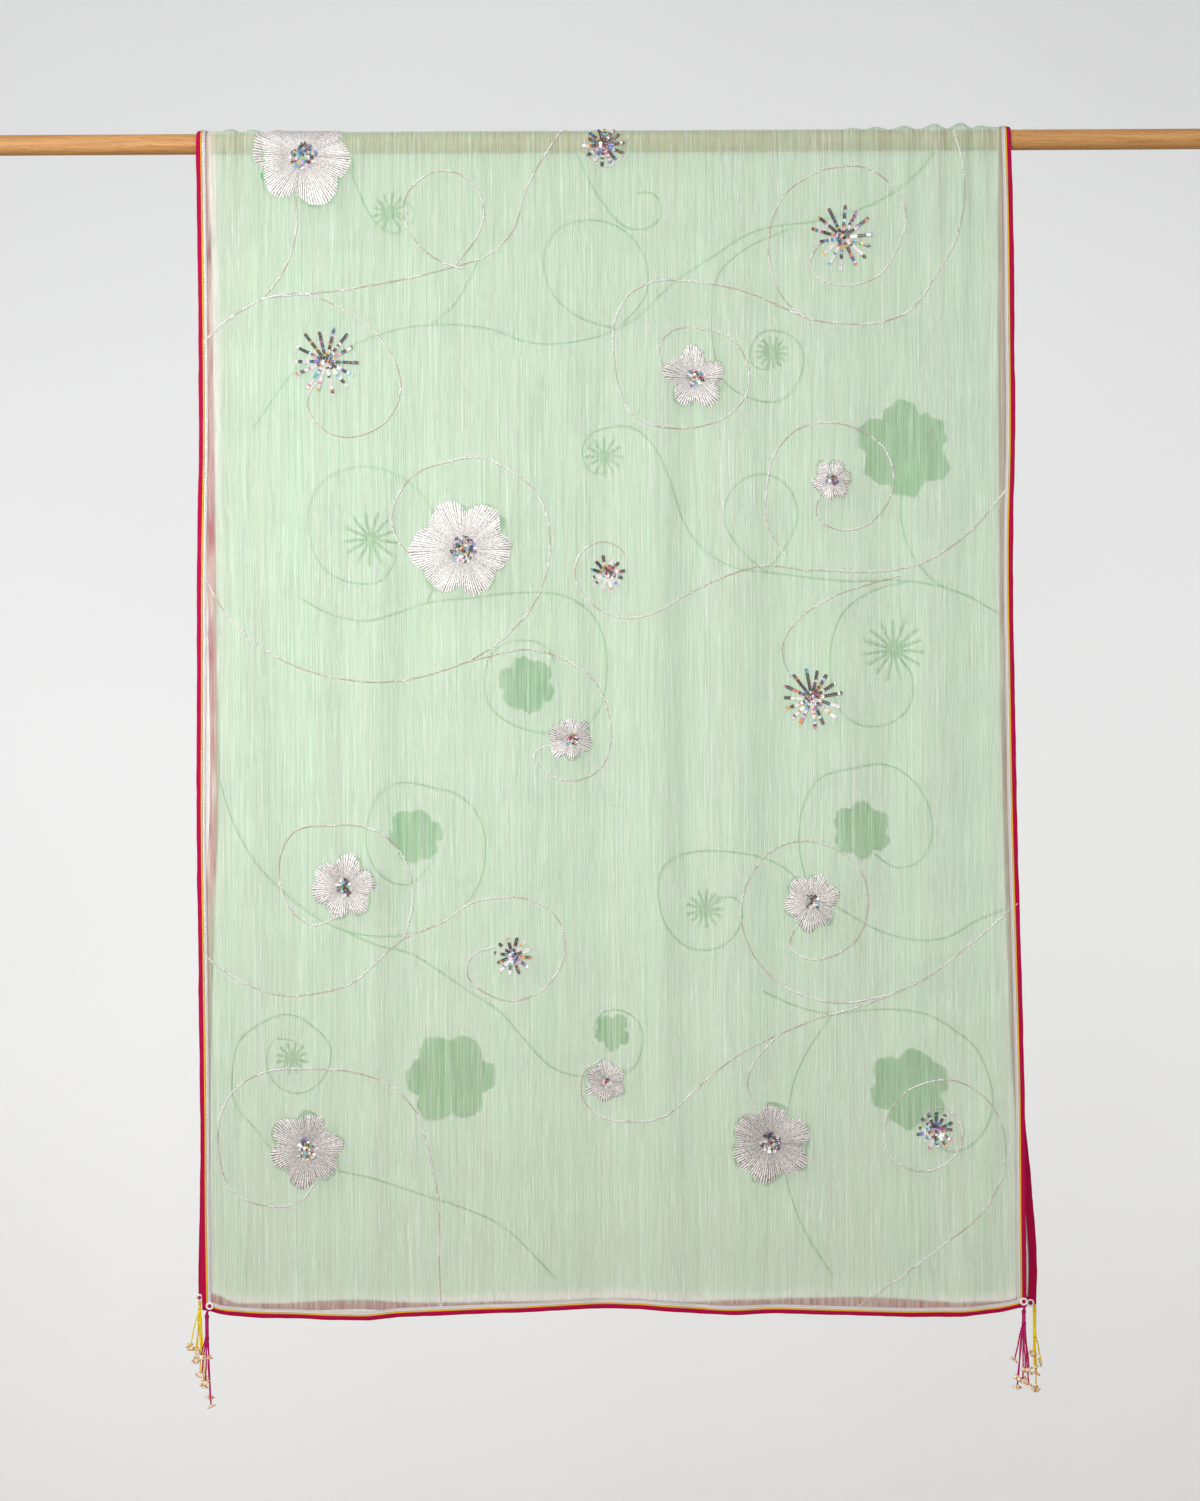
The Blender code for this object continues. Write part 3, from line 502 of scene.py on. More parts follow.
def calmness(x, along):
    """1 on open cloth and 0 under a flower, whose dense stitches hold the cloth flat."""
    calm = np.ones(np.shape(x))
    for fall in FALLS:
        for flower in fall.flowers:
            flower_x, flower_along = place_on(fall, flower.x, flower.drop)
            away = np.hypot(x - flower_x, along - flower_along) / flower.radius
            calm *= smoothstep((away - CALM_START) / (CALM_END - CALM_START))
    return calm


def crinkle_height(x, along, inside):
    """The fine creases: bands of stretched noise that drift sideways, half of it folded at zero into
    sharp crests, and short slanting puckers beside the edges. The cloth is held smooth on the rod, creased
    most below it, and smooth again under the trims."""
    drift = DRIFT_REACH * noise(x / DRIFT_WIDTH, along / DRIFT_LENGTH, 21)
    drift += DRIFT_REACH / 3 * noise(x / DRIFT_WIDTH * 2.3, along / DRIFT_LENGTH * 2.6, 22)
    height = np.zeros(np.shape(x))
    for band in CRINKLES:
        wave = noise((x + drift) / band.width, along / band.length, band.seed)
        crest = 0.7 - 2 * np.abs(wave)
        height += band.height * (wave * (1 - CRINKLE_SHARPNESS) + crest * CRINKLE_SHARPNESS)
    from_rod = drop_at(along)[1]
    loose = smoothstep(from_rod / ROD_HOLD)
    patch = 0.75 + 0.45 * noise(x / PATCH_WIDTH, along / PATCH_LENGTH, 23)
    patch = patch * (0.35 + 0.65 * loose) + ROD_CREASING * loose * np.exp(-from_rod / ROD_CREASE_REACH)
    height *= patch * (CALM_REST + (1 - CALM_REST) * calmness(x, along))
    slant = along + PUCKER_SLANT * inside
    pucker = noise(inside / PUCKER_WIDTH, slant / PUCKER_SPACING, 24) * PUCKER_HEIGHT
    height += pucker * np.exp(-inside / PUCKER_REACH) * smoothstep(inside / PUCKER_START)
    return height * smoothstep((inside - TRIM_CALM) / TRIM_FADE)


def surface(x, along, lift=0.0, crinkled=True):
    """Points of the cloth's outer face in millimetres, moved out by lift.

    The cloth stands off the rod's axis by the turn's radius, the swing of its edges and middle, the
    edge's lift, and the folds and gathers inside the flat edges. That reach points forward on the
    front fall, back on the back fall, and turns by half a circle between them."""
    x, along, lift = (np.asarray(value, float) for value in np.broadcast_arrays(x, along, lift))
    back, drop = drop_at(along)
    shape_drop = np.minimum(drop, CLOTH_LENGTH - FLAT_EDGE)
    reach, hem = np.zeros(x.shape), np.zeros(x.shape)
    for fall, here in ((FRONT, ~back), (BACK, back)):
        if not here.any():
            continue
        fall_x, fall_drop = x[here], shape_drop[here]
        left, right = cloth_edges(fall, drop[here])
        share = (fall_x - left) / (right - left)
        swing_left, swing_middle, swing_right = (
            read(fall.edges, fall_drop, "drop", name) for name in ("left_out", "middle_out", "right_out"))
        swing = np.where(
            share < 0.5,
            swing_left + (swing_middle - swing_left) * smoothstep(share * 2),
            swing_middle + (swing_right - swing_middle) * smoothstep(share * 2 - 1),
        )
        edge = np.maximum(np.minimum(fall_x - left, right - fall_x), 0)
        inside = smoothstep((edge - FLAT_EDGE) / EDGE_FADE)
        form = fold_height(fall, fall_x, fall_drop) + gather_height(fall_x, fall_drop)
        out = TURN_RADIUS + WALL + swing + EDGE_LIFT * (1 - inside) + inside * form
        if crinkled:
            out += crinkle_height(fall_x, along[here], edge)
        reach[here] = out
        hem[here] = read(fall.hem, fall_x, "x", "drop") - BORDER_WIDTH - GAP
    reach += lift
    angle = np.clip(along / ARC, 0, 1) * math.pi
    z = reach * np.sin(angle) + GAP / 2 - drop / CLOTH_LENGTH * (hem + GAP / 2)
    return stack(x, -reach * np.cos(angle), z)


def unit(vectors):
    """Vectors brought to a length of one."""
    return vectors / np.linalg.norm(vectors, axis=-1, keepdims=True)


def surface_axes(x, along):
    """Unit vectors at places on the cloth: across it, along it, and outwards, by small differences."""
    step = 0.6
    across = unit(surface(x + step, along) - surface(x - step, along))
    length = surface(x, along + step) - surface(x, along - step)
    outwards = unit(np.cross(across, length))
    return across, np.cross(outwards, across), outwards


def worked(x, along, height):
    """Points that stand a height above the cloth, straight out from it."""
    return surface(x, along) + np.asarray(height)[..., None] * surface_axes(x, along)[2]


# ---------------------------------------------------------------------------------------------------
# Shape: meshes from arrays
# ---------------------------------------------------------------------------------------------------

def grid_faces(rows, columns, closed=False):
    """The four corners of each cell of a grid, anticlockwise where rows rise and columns run right."""
    index = np.arange(rows * columns).reshape(rows, columns)
    if closed:
        index = np.concatenate([index, index[:, :1]], axis=1)
    return stack(index[:-1, :-1], index[:-1, 1:], index[1:, 1:], index[1:, :-1]).reshape(-1, 4)


def add_object(name, data):
    """A new object in the scene, at the origin."""
    made = bpy.data.objects.new(name, data)
    bpy.context.scene.collection.objects.link(made)
    return made


class Shape:
    """Points, four-cornered faces, UV places and tints that are gathered and then made one mesh."""

    def __init__(self):
        self.points, self.faces, self.uv, self.tints, self.count = [], [], [], [], 0

    def add(self, points, faces, uv=None, tint=None):
        """Adds points (any shape of array that ends in 3) and faces that number them from 0."""
        points = np.asarray(points, float).reshape(-1, 3)
        number = len(points)
        uv = np.zeros((number, 2)) if uv is None else np.asarray(uv, float).reshape(-1, 2)
        tint = (1.0, 1.0, 1.0) if tint is None else tint
        self.points.append(points)
        self.faces.append(np.asarray(faces) + self.count)
        self.uv.append(uv)
        self.tints.append(np.broadcast_to(np.asarray(tint, float).reshape(-1, 3), (number, 3)))
        self.count += number

    def add_copies(self, points, faces, origins, axes, tints=None):
        """Adds a copy of a small shape at each origin, turned by its three axes, which may be scaled."""
        placed = origins[:, None] + np.einsum("pk,nkd->npd", points, axes)
        shift = np.arange(len(origins)) * len(points)
        all_faces = (np.asarray(faces)[None] + shift[:, None, None]).reshape(-1, np.shape(faces)[1])
        tints = None if tints is None else np.repeat(tints, len(points), axis=0)
        uv = np.tile(points[:, :2], (len(origins), 1))
        self.add(placed, all_faces, uv, tints)

    def piece(self, name, slot, material, replaces=(), smooth=True, sharp=None, normals=None):
        """The finished object: it rides on the part's body and takes its finish from a material slot."""
        points = np.concatenate(self.points) * MM
        faces, uv = np.concatenate(self.faces), np.concatenate(self.uv)
        mesh = bpy.data.meshes.new(name)
        mesh.vertices.add(len(points))
        mesh.vertices.foreach_set("co", points.ravel())
        corners = faces.shape[1]
        mesh.loops.add(faces.size)
        mesh.loops.foreach_set("vertex_index", faces.ravel().astype(np.int32))
        mesh.polygons.add(len(faces))
        mesh.polygons.foreach_set("loop_start", np.arange(len(faces), dtype=np.int32) * corners)
        mesh.update(calc_edges=True)
        mesh.uv_layers.new(name="UVMap").data.foreach_set("uv", uv[faces.ravel()].ravel())
        tint = mesh.color_attributes.new(name="tint", type="FLOAT_COLOR", domain="POINT")
        rgba = np.concatenate([np.concatenate(self.tints), np.ones((len(points), 1))], axis=1)
        tint.data.foreach_set("color", rgba.ravel())
        mesh.polygons.foreach_set("use_smooth", np.full(len(faces), smooth))
        if sharp is not None:
            mesh.set_sharp_from_angle(angle=math.radians(sharp))
        if normals is not None:
            mesh.normals_split_custom_set_from_vertices(normals.reshape(-1, 3))
        mesh.materials.append(material)
        piece = add_object(name, mesh)
        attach(piece, "root")
        if replaces:
            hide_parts(*replaces)
        return piece


def frames_along(path):
    """Two directions square to a path at each of its points, which keep their turn along it."""
    along = unit(np.gradient(path, axis=-2))
    up = np.where(np.abs(along[..., 2:3]) > 0.9, (0.0, 1.0, 0.0), (0.0, 0.0, 1.0))
    side = unit(np.cross(along, up))
    return side, np.cross(side, along)


def tube_points(path, radii, sides):
    """Rings of points round a path, one for each of its points: radius times cosine and sine."""
    side, up = frames_along(path)
    angle = round_angles(sides)[:, None]
    ring = np.cos(angle) * side[:, None] + np.sin(angle) * up[:, None]
    return path[:, None] + radii[:, None, None] * ring


def add_tube(shape, path, radii, sides):
    """Adds a tube along a path, closed at each end by a ring drawn in to a point."""
    path = np.asarray(path, float)
    radii = np.broadcast_to(radii, (len(path),)).astype(float)
    path = np.concatenate([path[:1], path, path[-1:]])
    path[0] -= (path[2] - path[1]) * 1e-3
    path[-1] += (path[-2] - path[-3]) * 1e-3
    radii = np.concatenate([[1e-4], radii, [1e-4]])
    uv = stack(path_length(path)[:, None] * MM, np.arange(sides) / sides)
    shape.add(tube_points(path, radii, sides), grid_faces(len(path), sides, closed=True), uv)


def ball(rows, sides):
    """A unit ball as a small grid whose first and last rings are drawn in to the poles."""
    height = np.linspace(-math.pi / 2, math.pi / 2, rows)[:, None]
    angle = round_angles(sides)
    points = stack(np.cos(height) * np.cos(angle), np.cos(height) * np.sin(angle), np.sin(height))
    return points.reshape(-1, 3), grid_faces(rows, sides, closed=True)


def rounded_route(places, spacing):
    """Places set evenly along a Hermite curve through the given ones, then averaged with their
    neighbours by a bell curve, so that no bend is sharp. The ends stay where they are."""
    places = np.asarray(places, float)
    chords = path_length(places)
    fine = np.linspace(0, chords[-1], int(chords[-1]) + 2)
    line = stack(smooth(fine, chords, places[:, 0]), smooth(fine, chords, places[:, 1]))
    length = path_length(line)
    even = np.linspace(0, length[-1], max(int(length[-1] / spacing), 2) + 1)
    line = read_along(even, length, line)
    reach = min(int(3 * SOFTENING), len(line) - 2)
    weights = np.exp(-0.5 * (np.arange(-reach, reach + 1) / SOFTENING) ** 2)
    before, after = 2 * line[0] - line[reach:0:-1], 2 * line[-1] - line[-2:-reach - 2:-1]
    padded = np.concatenate([before, line, after])
    return stack(*(np.convolve(column, weights / weights.sum(), "valid") for column in padded.T))


def path_length(points):
    """The distance along a path at each of its points."""
    return np.concatenate([[0], np.cumsum(np.linalg.norm(np.diff(points, axis=0), axis=1))])


def read_along(at, length, values):
    """Rows of values that belong to distances along a path, read between them at other distances."""
    return stack(*(np.interp(at, length, column) for column in values.T))


# ---------------------------------------------------------------------------------------------------
# Shader nodes
# ---------------------------------------------------------------------------------------------------

def feed(tree, socket, value):
    """Links another node's socket into this one, or sets this one to a plain value."""
    if isinstance(value, bpy.types.NodeSocket):
        tree.links.new(value, socket)
    else:
        socket.default_value = value


def node(tree, kind, settings=None, **inputs):
    """Adds a shader node, sets its properties, and sets or links its inputs by name."""
    made = tree.nodes.new(kind)
    for name, value in (settings or {}).items():
        setattr(made, name, value)
    for name, value in inputs.items():
        feed(tree, made.inputs[name.replace("_", " ")], value)
    return made


def sums(tree, operation, first, second=0.5, third=0.0):
    """A Math node's result on numbers or sockets."""
    made = node(tree, "ShaderNodeMath", {"operation": operation})
    for socket, value in zip(made.inputs, (first, second, third)):
        feed(tree, socket, value)
    return made.outputs[0]


def times(tree, first, second, plus=None):
    """The product of two numbers or sockets, with a third one added if it is given."""
    if plus is None:
        return sums(tree, "MULTIPLY", first, second)
    return sums(tree, "MULTIPLY_ADD", first, second, plus)


def spread(tree, value, low, high, to_low=0.0, to_high=1.0):
    """A value moved from one range to another and kept inside it."""
    made = node(tree, "ShaderNodeMapRange", None, Value=value, From_Min=low, From_Max=high,
                To_Min=to_low, To_Max=to_high)
    return made.outputs["Result"]


def blend(tree, share, first, second, mode="MIX"):
    """A mix of two colours, each a colour or a socket."""
    made = node(tree, "ShaderNodeMix", {"data_type": "RGBA", "blend_type": mode})
    feed(tree, made.inputs[0], share)
    for socket, value in ((made.inputs[6], first), (made.inputs[7], second)):
        feed(tree, socket, value if isinstance(value, bpy.types.NodeSocket) else (*value, 1.0))
    return made.outputs[2]


def stretched(tree, place, scale):
    """A place scaled by its own amount along each axis, in noise cells for each metre."""
    return node(tree, "ShaderNodeMapping", {"vector_type": "POINT"}, Vector=place, Scale=scale).outputs[0]


def noise_texture(tree, place, scale=1.0, detail=2.0, distortion=0.0, dimensions="3D"):
    """A noise texture's value at a place."""
    return node(tree, "ShaderNodeTexNoise", {"noise_dimensions": dimensions}, Vector=place, Scale=scale,
                Detail=detail, Distortion=distortion).outputs[0]


def split(tree, place):
    """A place's separate numbers."""
    return node(tree, "ShaderNodeSeparateXYZ", None, Vector=place).outputs


def object_place(tree):
    """The place in the piece's own metres."""
    return node(tree, "ShaderNodeTexCoord").outputs["Object"]


def bump(tree, height, distance, strength=1.0):
    """A surface normal that follows a height in metres."""
    return node(tree, "ShaderNodeBump", None, Height=height, Distance=distance, Strength=strength).outputs[0]


def new_group(name, inputs, outputs):
    """A shader node group with inputs, each a number's default or None for a vector, and outputs."""
    tree = bpy.data.node_groups.new(name, "ShaderNodeTree")
    for label, default in inputs.items():
        kind = "NodeSocketVector" if default is None else "NodeSocketFloat"
        socket = tree.interface.new_socket(label, in_out="INPUT", socket_type=kind)
        if default is not None:
            socket.default_value = default
    for label in outputs:
        tree.interface.new_socket(label, in_out="OUTPUT", socket_type="NodeSocketFloat")
    return tree, tree.nodes.new("NodeGroupInput").outputs, tree.nodes.new("NodeGroupOutput").inputs


def group(tree, name, **inputs):
    """Places a shader node group in a material and sets its inputs."""
    return node(tree, "ShaderNodeGroup", {"node_tree": bpy.data.node_groups[name]}, **inputs).outputs


def build_groups():
    """The effects that several materials share: a plain weave, long streaks and a spun thread's twist."""
    tree, source, target = new_group("plain_weave", {"Place": None, "Threads": 2500.0}, ["Height", "Slubs"])
    across, along, _ = split(tree, source["Place"])
    warp = sums(tree, "SINE", times(tree, across, source["Threads"]))
    weft = sums(tree, "SINE", times(tree, along, source["Threads"]))
    tree.links.new(times(tree, warp, weft), target["Height"])
    slubs = noise_texture(tree, stretched(tree, source["Place"], (22, 900, 1)), dimensions="2D")
    tree.links.new(spread(tree, slubs, 0.52, 0.72), target["Slubs"])

    tree, source, target = new_group("long_streaks", {"Place": None, "Scale": None},
                                     ["Broad", "Fine", "Creases"])
    wide = stretched(tree, source["Place"], source["Scale"])
    tree.links.new(spread(tree, noise_texture(tree, wide, 1.0, 2.0, 0.4), 0.3, 0.7), target["Broad"])
    tree.links.new(spread(tree, noise_texture(tree, wide, 3.1, 3.0, 0.3), 0.3, 0.7), target["Fine"])
    crossing = noise_texture(tree, wide, 1.7, 1.0, 0.15)
    from_middle = sums(tree, "ABSOLUTE", sums(tree, "SUBTRACT", crossing, 0.5))
    tree.links.new(spread(tree, from_middle, 0.0, 0.035, 1.0, 0.0), target["Creases"])

    tree, source, target = new_group("spun_twist", {"Place": None, "Turns": 600.0, "Plies": 3.0},
                                     ["Height", "Fibre"])
    length, around, _ = split(tree, source["Place"])
    lengthwise = times(tree, length, source["Turns"])
    turn = times(tree, around, source["Plies"], lengthwise)
    wave = sums(tree, "SINE", times(tree, turn, 2 * math.pi))
    tree.links.new(times(tree, wave, 0.5, 0.5), target["Height"])
    fibre = noise_texture(tree, stretched(tree, source["Place"], (3000, 40, 1)), dimensions="2D")
    tree.links.new(fibre, target["Fibre"])


def new_material(name, roughness, metallic=0.0, **constants):
    """A material whose Principled shader has some plain values, and its tree."""
    material = bpy.data.materials.new(name)
    material.use_nodes = True
    dress(material, Roughness=roughness, Metallic=metallic, **constants)
    return material, material.node_tree


def dress(material, **sockets):
    """Gives the material's Principled shader sockets or plain values for the inputs of those names."""
    tree = material.node_tree
    for label, socket in sockets.items():
        feed(tree, tree.nodes["Principled BSDF"].inputs[label.replace("_", " ")], socket)
    return material


def uv_place(tree):
    """The piece's own UV place."""
    return node(tree, "ShaderNodeUVMap", {"uv_map": "UVMap"}).outputs[0]


def tint_colour(tree):
    """The piece's own tint at each point."""
    return node(tree, "ShaderNodeVertexColor", {"layer_name": "tint"}).outputs[0]


def cloth_material(settings):
    """Sheer crinkled mint cloth: streaks and slubs change its colour and how much shows through. Its colour
    carries painted shade between the crinkles and in broad olive bands, more of it towards the bottom, and
    painted highlight along the crinkles' creases. The tint's red channel is each place's own share of the
    cover, and its green channel says how much pale cream painted light it takes."""
    material, tree = new_material("mint_sheer", 0.70, Sheen_Weight=0.2, Sheen_Roughness=0.5)
    place = uv_place(tree)
    streak = group(tree, "long_streaks", Place=place, Scale=(215, 2.6, 1))
    finest = group(tree, "long_streaks", Place=place, Scale=(520, 6, 1))
    bands = group(tree, "long_streaks", Place=place, Scale=(24, 0.9, 1))
    weave = group(tree, "plain_weave", Place=place, Threads=5200.0)
    mixed = times(tree, streak["Fine"], 0.4, times(tree, streak["Broad"], 0.25))
    mixed = times(tree, finest["Broad"], 0.35, mixed)
    broad_creases = times(tree, streak["Creases"], 0.45)
    creases = times(tree, finest["Creases"], 0.55, broad_creases)
    # Painted shade: the streaks darken the cloth between its crinkles.
    colour = blend(tree, spread(tree, mixed, 0.15, 0.85), settings.shade_colour, settings.cloth_colour)
    # Painted shade: olive bands for the broad folds, and more of the olive towards the bottom.
    low = spread(tree, sums(tree, "ABSOLUTE", split(tree, place)[1]), 0.75, 1.2)
    olive = times(tree, bands["Fine"], 0.25, times(tree, bands["Broad"], 0.3))
    olive = times(tree, low, 0.28, olive)
    colour = blend(tree, olive, colour, settings.olive_shade_colour)
    patchy = times(tree, bands["Broad"], 0.9, 0.3)
    # The real slubs, and painted highlight along the crinkles' creases.
    bright = times(tree, weave["Slubs"], 0.1, times(tree, creases, patchy))
    own, pale = node(tree, "ShaderNodeSeparateColor", None, Color=tint_colour(tree)).outputs[:2]
    # Painted light: the pale cream, by the tint's green channel.
    colour = blend(tree, pale, blend(tree, bright, colour, settings.slub_and_highlight_colour), settings.cream_painted_light)
    cover = times(tree, sums(tree, "SUBTRACT", mixed, 0.5), 0.34, settings.cover)
    cover = times(tree, creases, 0.20, cover)
    height = times(tree, weave["Height"], 0.06, times(tree, mixed, 0.6))
    height = times(tree, creases, 0.5, height)
    return dress(material, Base_Color=colour, Alpha=times(tree, cover, own),
                 Normal=bump(tree, height, 0.0009))


def wrong_side_material(settings):
    """The flat bobbin thread on the cloth's inner side, a deeper green than the cloth. Its dark green is
    partly painted shade, standing in for the shadow of the embroidery seen through the sheer cloth.
    """
    material, tree = new_material("bobbin_green", 0.8)
    streak = group(tree, "long_streaks", Place=uv_place(tree), Scale=(140, 30, 1))
    # Bobbin thread whose dark green also carries the painted shade of the embroidery behind.
    colour = blend(tree, streak["Broad"], settings.bobbin_and_shade_colour, settings.bobbin_light)
    return dress(material, Base_Color=colour, Normal=bump(tree, streak["Fine"], 0.0002))


def satin_material(settings):
    """Satin ribbon: a painted sheen along it with painted shade in its dips, small puckers and a fine weave.
    """
    material, tree = new_material("crimson_satin", 0.5, Specular_IOR_Level=0.12)
    place = uv_place(tree)
    streak = group(tree, "long_streaks", Place=place, Scale=(60, 500, 1))
    weave = group(tree, "plain_weave", Place=place, Threads=9000.0)
    share = times(tree, streak["Fine"], 0.5, times(tree, streak["Broad"], 0.5))
    height = times(tree, weave["Height"], 0.1, streak["Fine"])
    # Painted sheen and painted shade in the dips, by a streak noise along the ribbon.
    return dress(material, Base_Color=blend(tree, share, settings.satin_dip_shade, settings.satin_colour),
                 Normal=bump(tree, height, 0.0003, 0.6))


def thread_material(name, colour, groove_shade, turns, plies):
    """Spun thread or cord: plies that wind round it, with painted shade in the grooves between them."""
    material, tree = new_material(name, 0.5, Specular_IOR_Level=0.3)
    twist = group(tree, "spun_twist", Place=uv_place(tree), Turns=turns, Plies=plies)
    share = times(tree, twist["Fibre"], 0.5, times(tree, twist["Height"], 0.6))
    # Painted shade: the groove colour fills the grooves between the plies.
    colour = blend(tree, 1.0, blend(tree, share, groove_shade, colour), tint_colour(tree), "MULTIPLY")
    return dress(material, Base_Color=colour, Normal=bump(tree, twist["Height"], 0.0004))


def lace_material(settings):
    """Silver braid: two cords beside a row of dots, on a darker ground."""
    material, tree = new_material("silver_braid", 0.45, 0.1, Specular_IOR_Level=0.3)
    length, around, _ = split(tree, uv_place(tree))
    lengthwise = times(tree, length, settings.lace_pitch)
    beat = sums(tree, "SINE", times(tree, lengthwise, 2 * math.pi))
    across = sums(tree, "SINE", times(tree, around, 3 * math.pi))
    dots = spread(tree, times(tree, beat, across), -0.75, 0.05)
    fibre = group(tree, "long_streaks", Place=uv_place(tree), Scale=(120, 4, 1))
    colour = blend(tree, dots, settings.lace_shade, settings.lace_colour)
    colour = blend(tree, times(tree, fibre["Fine"], 0.3), colour, settings.lace_light)
    return dress(material, Base_Color=colour, Normal=bump(tree, dots, 0.0005))


def zari_material(settings):
    """Silver zari thread laid side by side: bright metal with painted glints, and a tint that carries each
    thread's own tone and the flowers' painted light and shade.
    """
    material, tree = new_material("silver_zari", 0.40, 0.15)
    place = uv_place(tree)
    thread = sums(tree, "SINE", times(tree, split(tree, place)[0], 2 * math.pi))
    glint = noise_texture(tree, stretched(tree, place, (0.9, 420, 1)), dimensions="2D")
    glints = spread(tree, glint, 0.45, 0.75)
    colour = blend(tree, 1.0, settings.zari_colour, tint_colour(tree), "MULTIPLY")
    colour = blend(tree, times(tree, glints, 0.5), colour, settings.zari_light)
    return dress(material, Base_Color=colour, Roughness=spread(tree, glint, 0.3, 0.7, 0.55, 0.3),
                 Normal=bump(tree, thread, 0.00015, 0.7))


def sequin_material():
    """Iridescent sequins: thin bright plastic, each with a painted reflection as its flash of colour."""
    material, tree = new_material("iridescent_sequin", 0.22, 0.2, Coat_Weight=0.5, Coat_Roughness=0.08)
    speckle = noise_texture(tree, object_place(tree), 900.0, 1.0)
    share = spread(tree, speckle, 0.5, 0.75, 0.0, 0.35)
    return dress(material, Base_Color=blend(tree, share, tint_colour(tree), (0.85, 0.83, 0.86)),
                 Normal=bump(tree, speckle, 0.0002, 0.4))


def bead_material(name, colour):
    """A small cut-glass bead: deep colour under a clear coat."""
    material, tree = new_material(name, 0.2, Coat_Weight=0.8, Coat_Roughness=0.05)
    deep = tuple(channel * 0.6 for channel in colour)
    mottle = noise_texture(tree, object_place(tree), 700.0, 1.0)
    return dress(material, Base_Color=blend(tree, mottle, deep, colour))


def shell_material(settings):
    """Pearly shell: pale, with faint growth lines and a smooth coat."""
    material, tree = new_material("pearl_shell", 0.3, Coat_Weight=0.5, Coat_Roughness=0.15)
    lines = noise_texture(tree, stretched(tree, object_place(tree), (200, 200, 900)), 1.0, 3.0)
    colour = blend(tree, spread(tree, lines, 0.35, 0.65), settings.shell_shade, settings.shell_colour)
    return dress(material, Base_Color=colour, Normal=bump(tree, lines, 0.0003, 0.5))


def cup_material(settings):
    """Flower-shaped cups of thin plastic in patches of cream and amber, more amber at the petals' tips.
    The UV's first number is the share of the way to the rim."""
    material, tree = new_material("golden_cup", 0.28, Coat_Weight=0.4)
    patch = spread(tree, noise_texture(tree, object_place(tree), 420.0), 0.42, 0.56)
    inner = spread(tree, split(tree, uv_place(tree))[0], 0.94, 1.0, 1.0, 0.2)
    share = times(tree, patch, inner)
    return dress(material, Base_Color=blend(tree, share, settings.cup_colour, settings.cup_light))


def wood_material(settings):
    """Oiled pale hardwood with its grain along the rod, small dark pores and worn light streaks."""
    material, tree = new_material("rod_wood", 0.45)
    place = object_place(tree)
    grain = group(tree, "long_streaks", Place=place, Scale=(9, 260, 260))
    colour = blend(tree, grain["Broad"], settings.wood_deep, settings.wood_colour)
    colour = blend(tree, times(tree, grain["Fine"], 0.28), colour, settings.wood_light)
    pore = spread(tree, noise_texture(tree, stretched(tree, place, (120, 1400, 1400))), 0.60, 0.70)
    colour = blend(tree, times(tree, pore, 0.55), colour, settings.wood_pore)
    height = times(tree, pore, -0.8, grain["Fine"])
    return dress(material, Base_Color=colour, Roughness=spread(tree, grain["Fine"], 0.0, 1.0, 0.38, 0.56),
                 Normal=bump(tree, height, 0.0003))


# ---------------------------------------------------------------------------------------------------
# Settings
# ---------------------------------------------------------------------------------------------------

def colour_property(name, description, default):
    """A colour setting, as linear red, green and blue."""
    return bpy.props.FloatVectorProperty(name=name, description=description, default=default,
                                         subtype="COLOR", min=0.0, max=1.0)


def number_property(name, description, default, least=0.0, **kind):
    """A number setting."""
    return bpy.props.FloatProperty(name=name, description=description, default=default, min=least, **kind)


class StoleClothSettings(bpy.types.PropertyGroup):
    cloth_colour: colour_property("Cloth", "The mint cloth where it is thickest", (0.68, 0.93, 0.69))
    # Painted shade: the cloth's colour between its crinkles.
    shade_colour: colour_property("Cloth shade", "The cloth between its crinkles", (0.555, 0.78, 0.545))
    # Painted light: the pale cream that brightens the strips beside the trims.
    cream_painted_light: colour_property("Cloth, pale", "Where it lies smooth beside the trims", (0.98, 0.90, 0.82))
    # Painted shade of the broad folds, stronger towards the bottom.
    olive_shade_colour: colour_property("Cloth, olive", "Broad warmer bands along the cloth", (0.60, 0.70, 0.48))
    # The slubs' colour, and the painted highlight along the crinkles' creases.
    slub_and_highlight_colour: colour_property("Slubs", "The thicker pale threads", (0.91, 0.98, 0.92))
    # Bobbin thread, darkened as painted shade of the embroidery seen through the cloth.
    bobbin_and_shade_colour: colour_property("Bobbin thread", "Thread on the wrong side", (0.03, 0.26, 0.05))
    bobbin_light: colour_property("Bobbin thread, light", "Lit bobbin thread", (0.20, 0.52, 0.22))
    cover: number_property("Cover", "How much of the view one layer of cloth hides", 0.54, 0.1, max=1.0,
                           subtype="FACTOR")


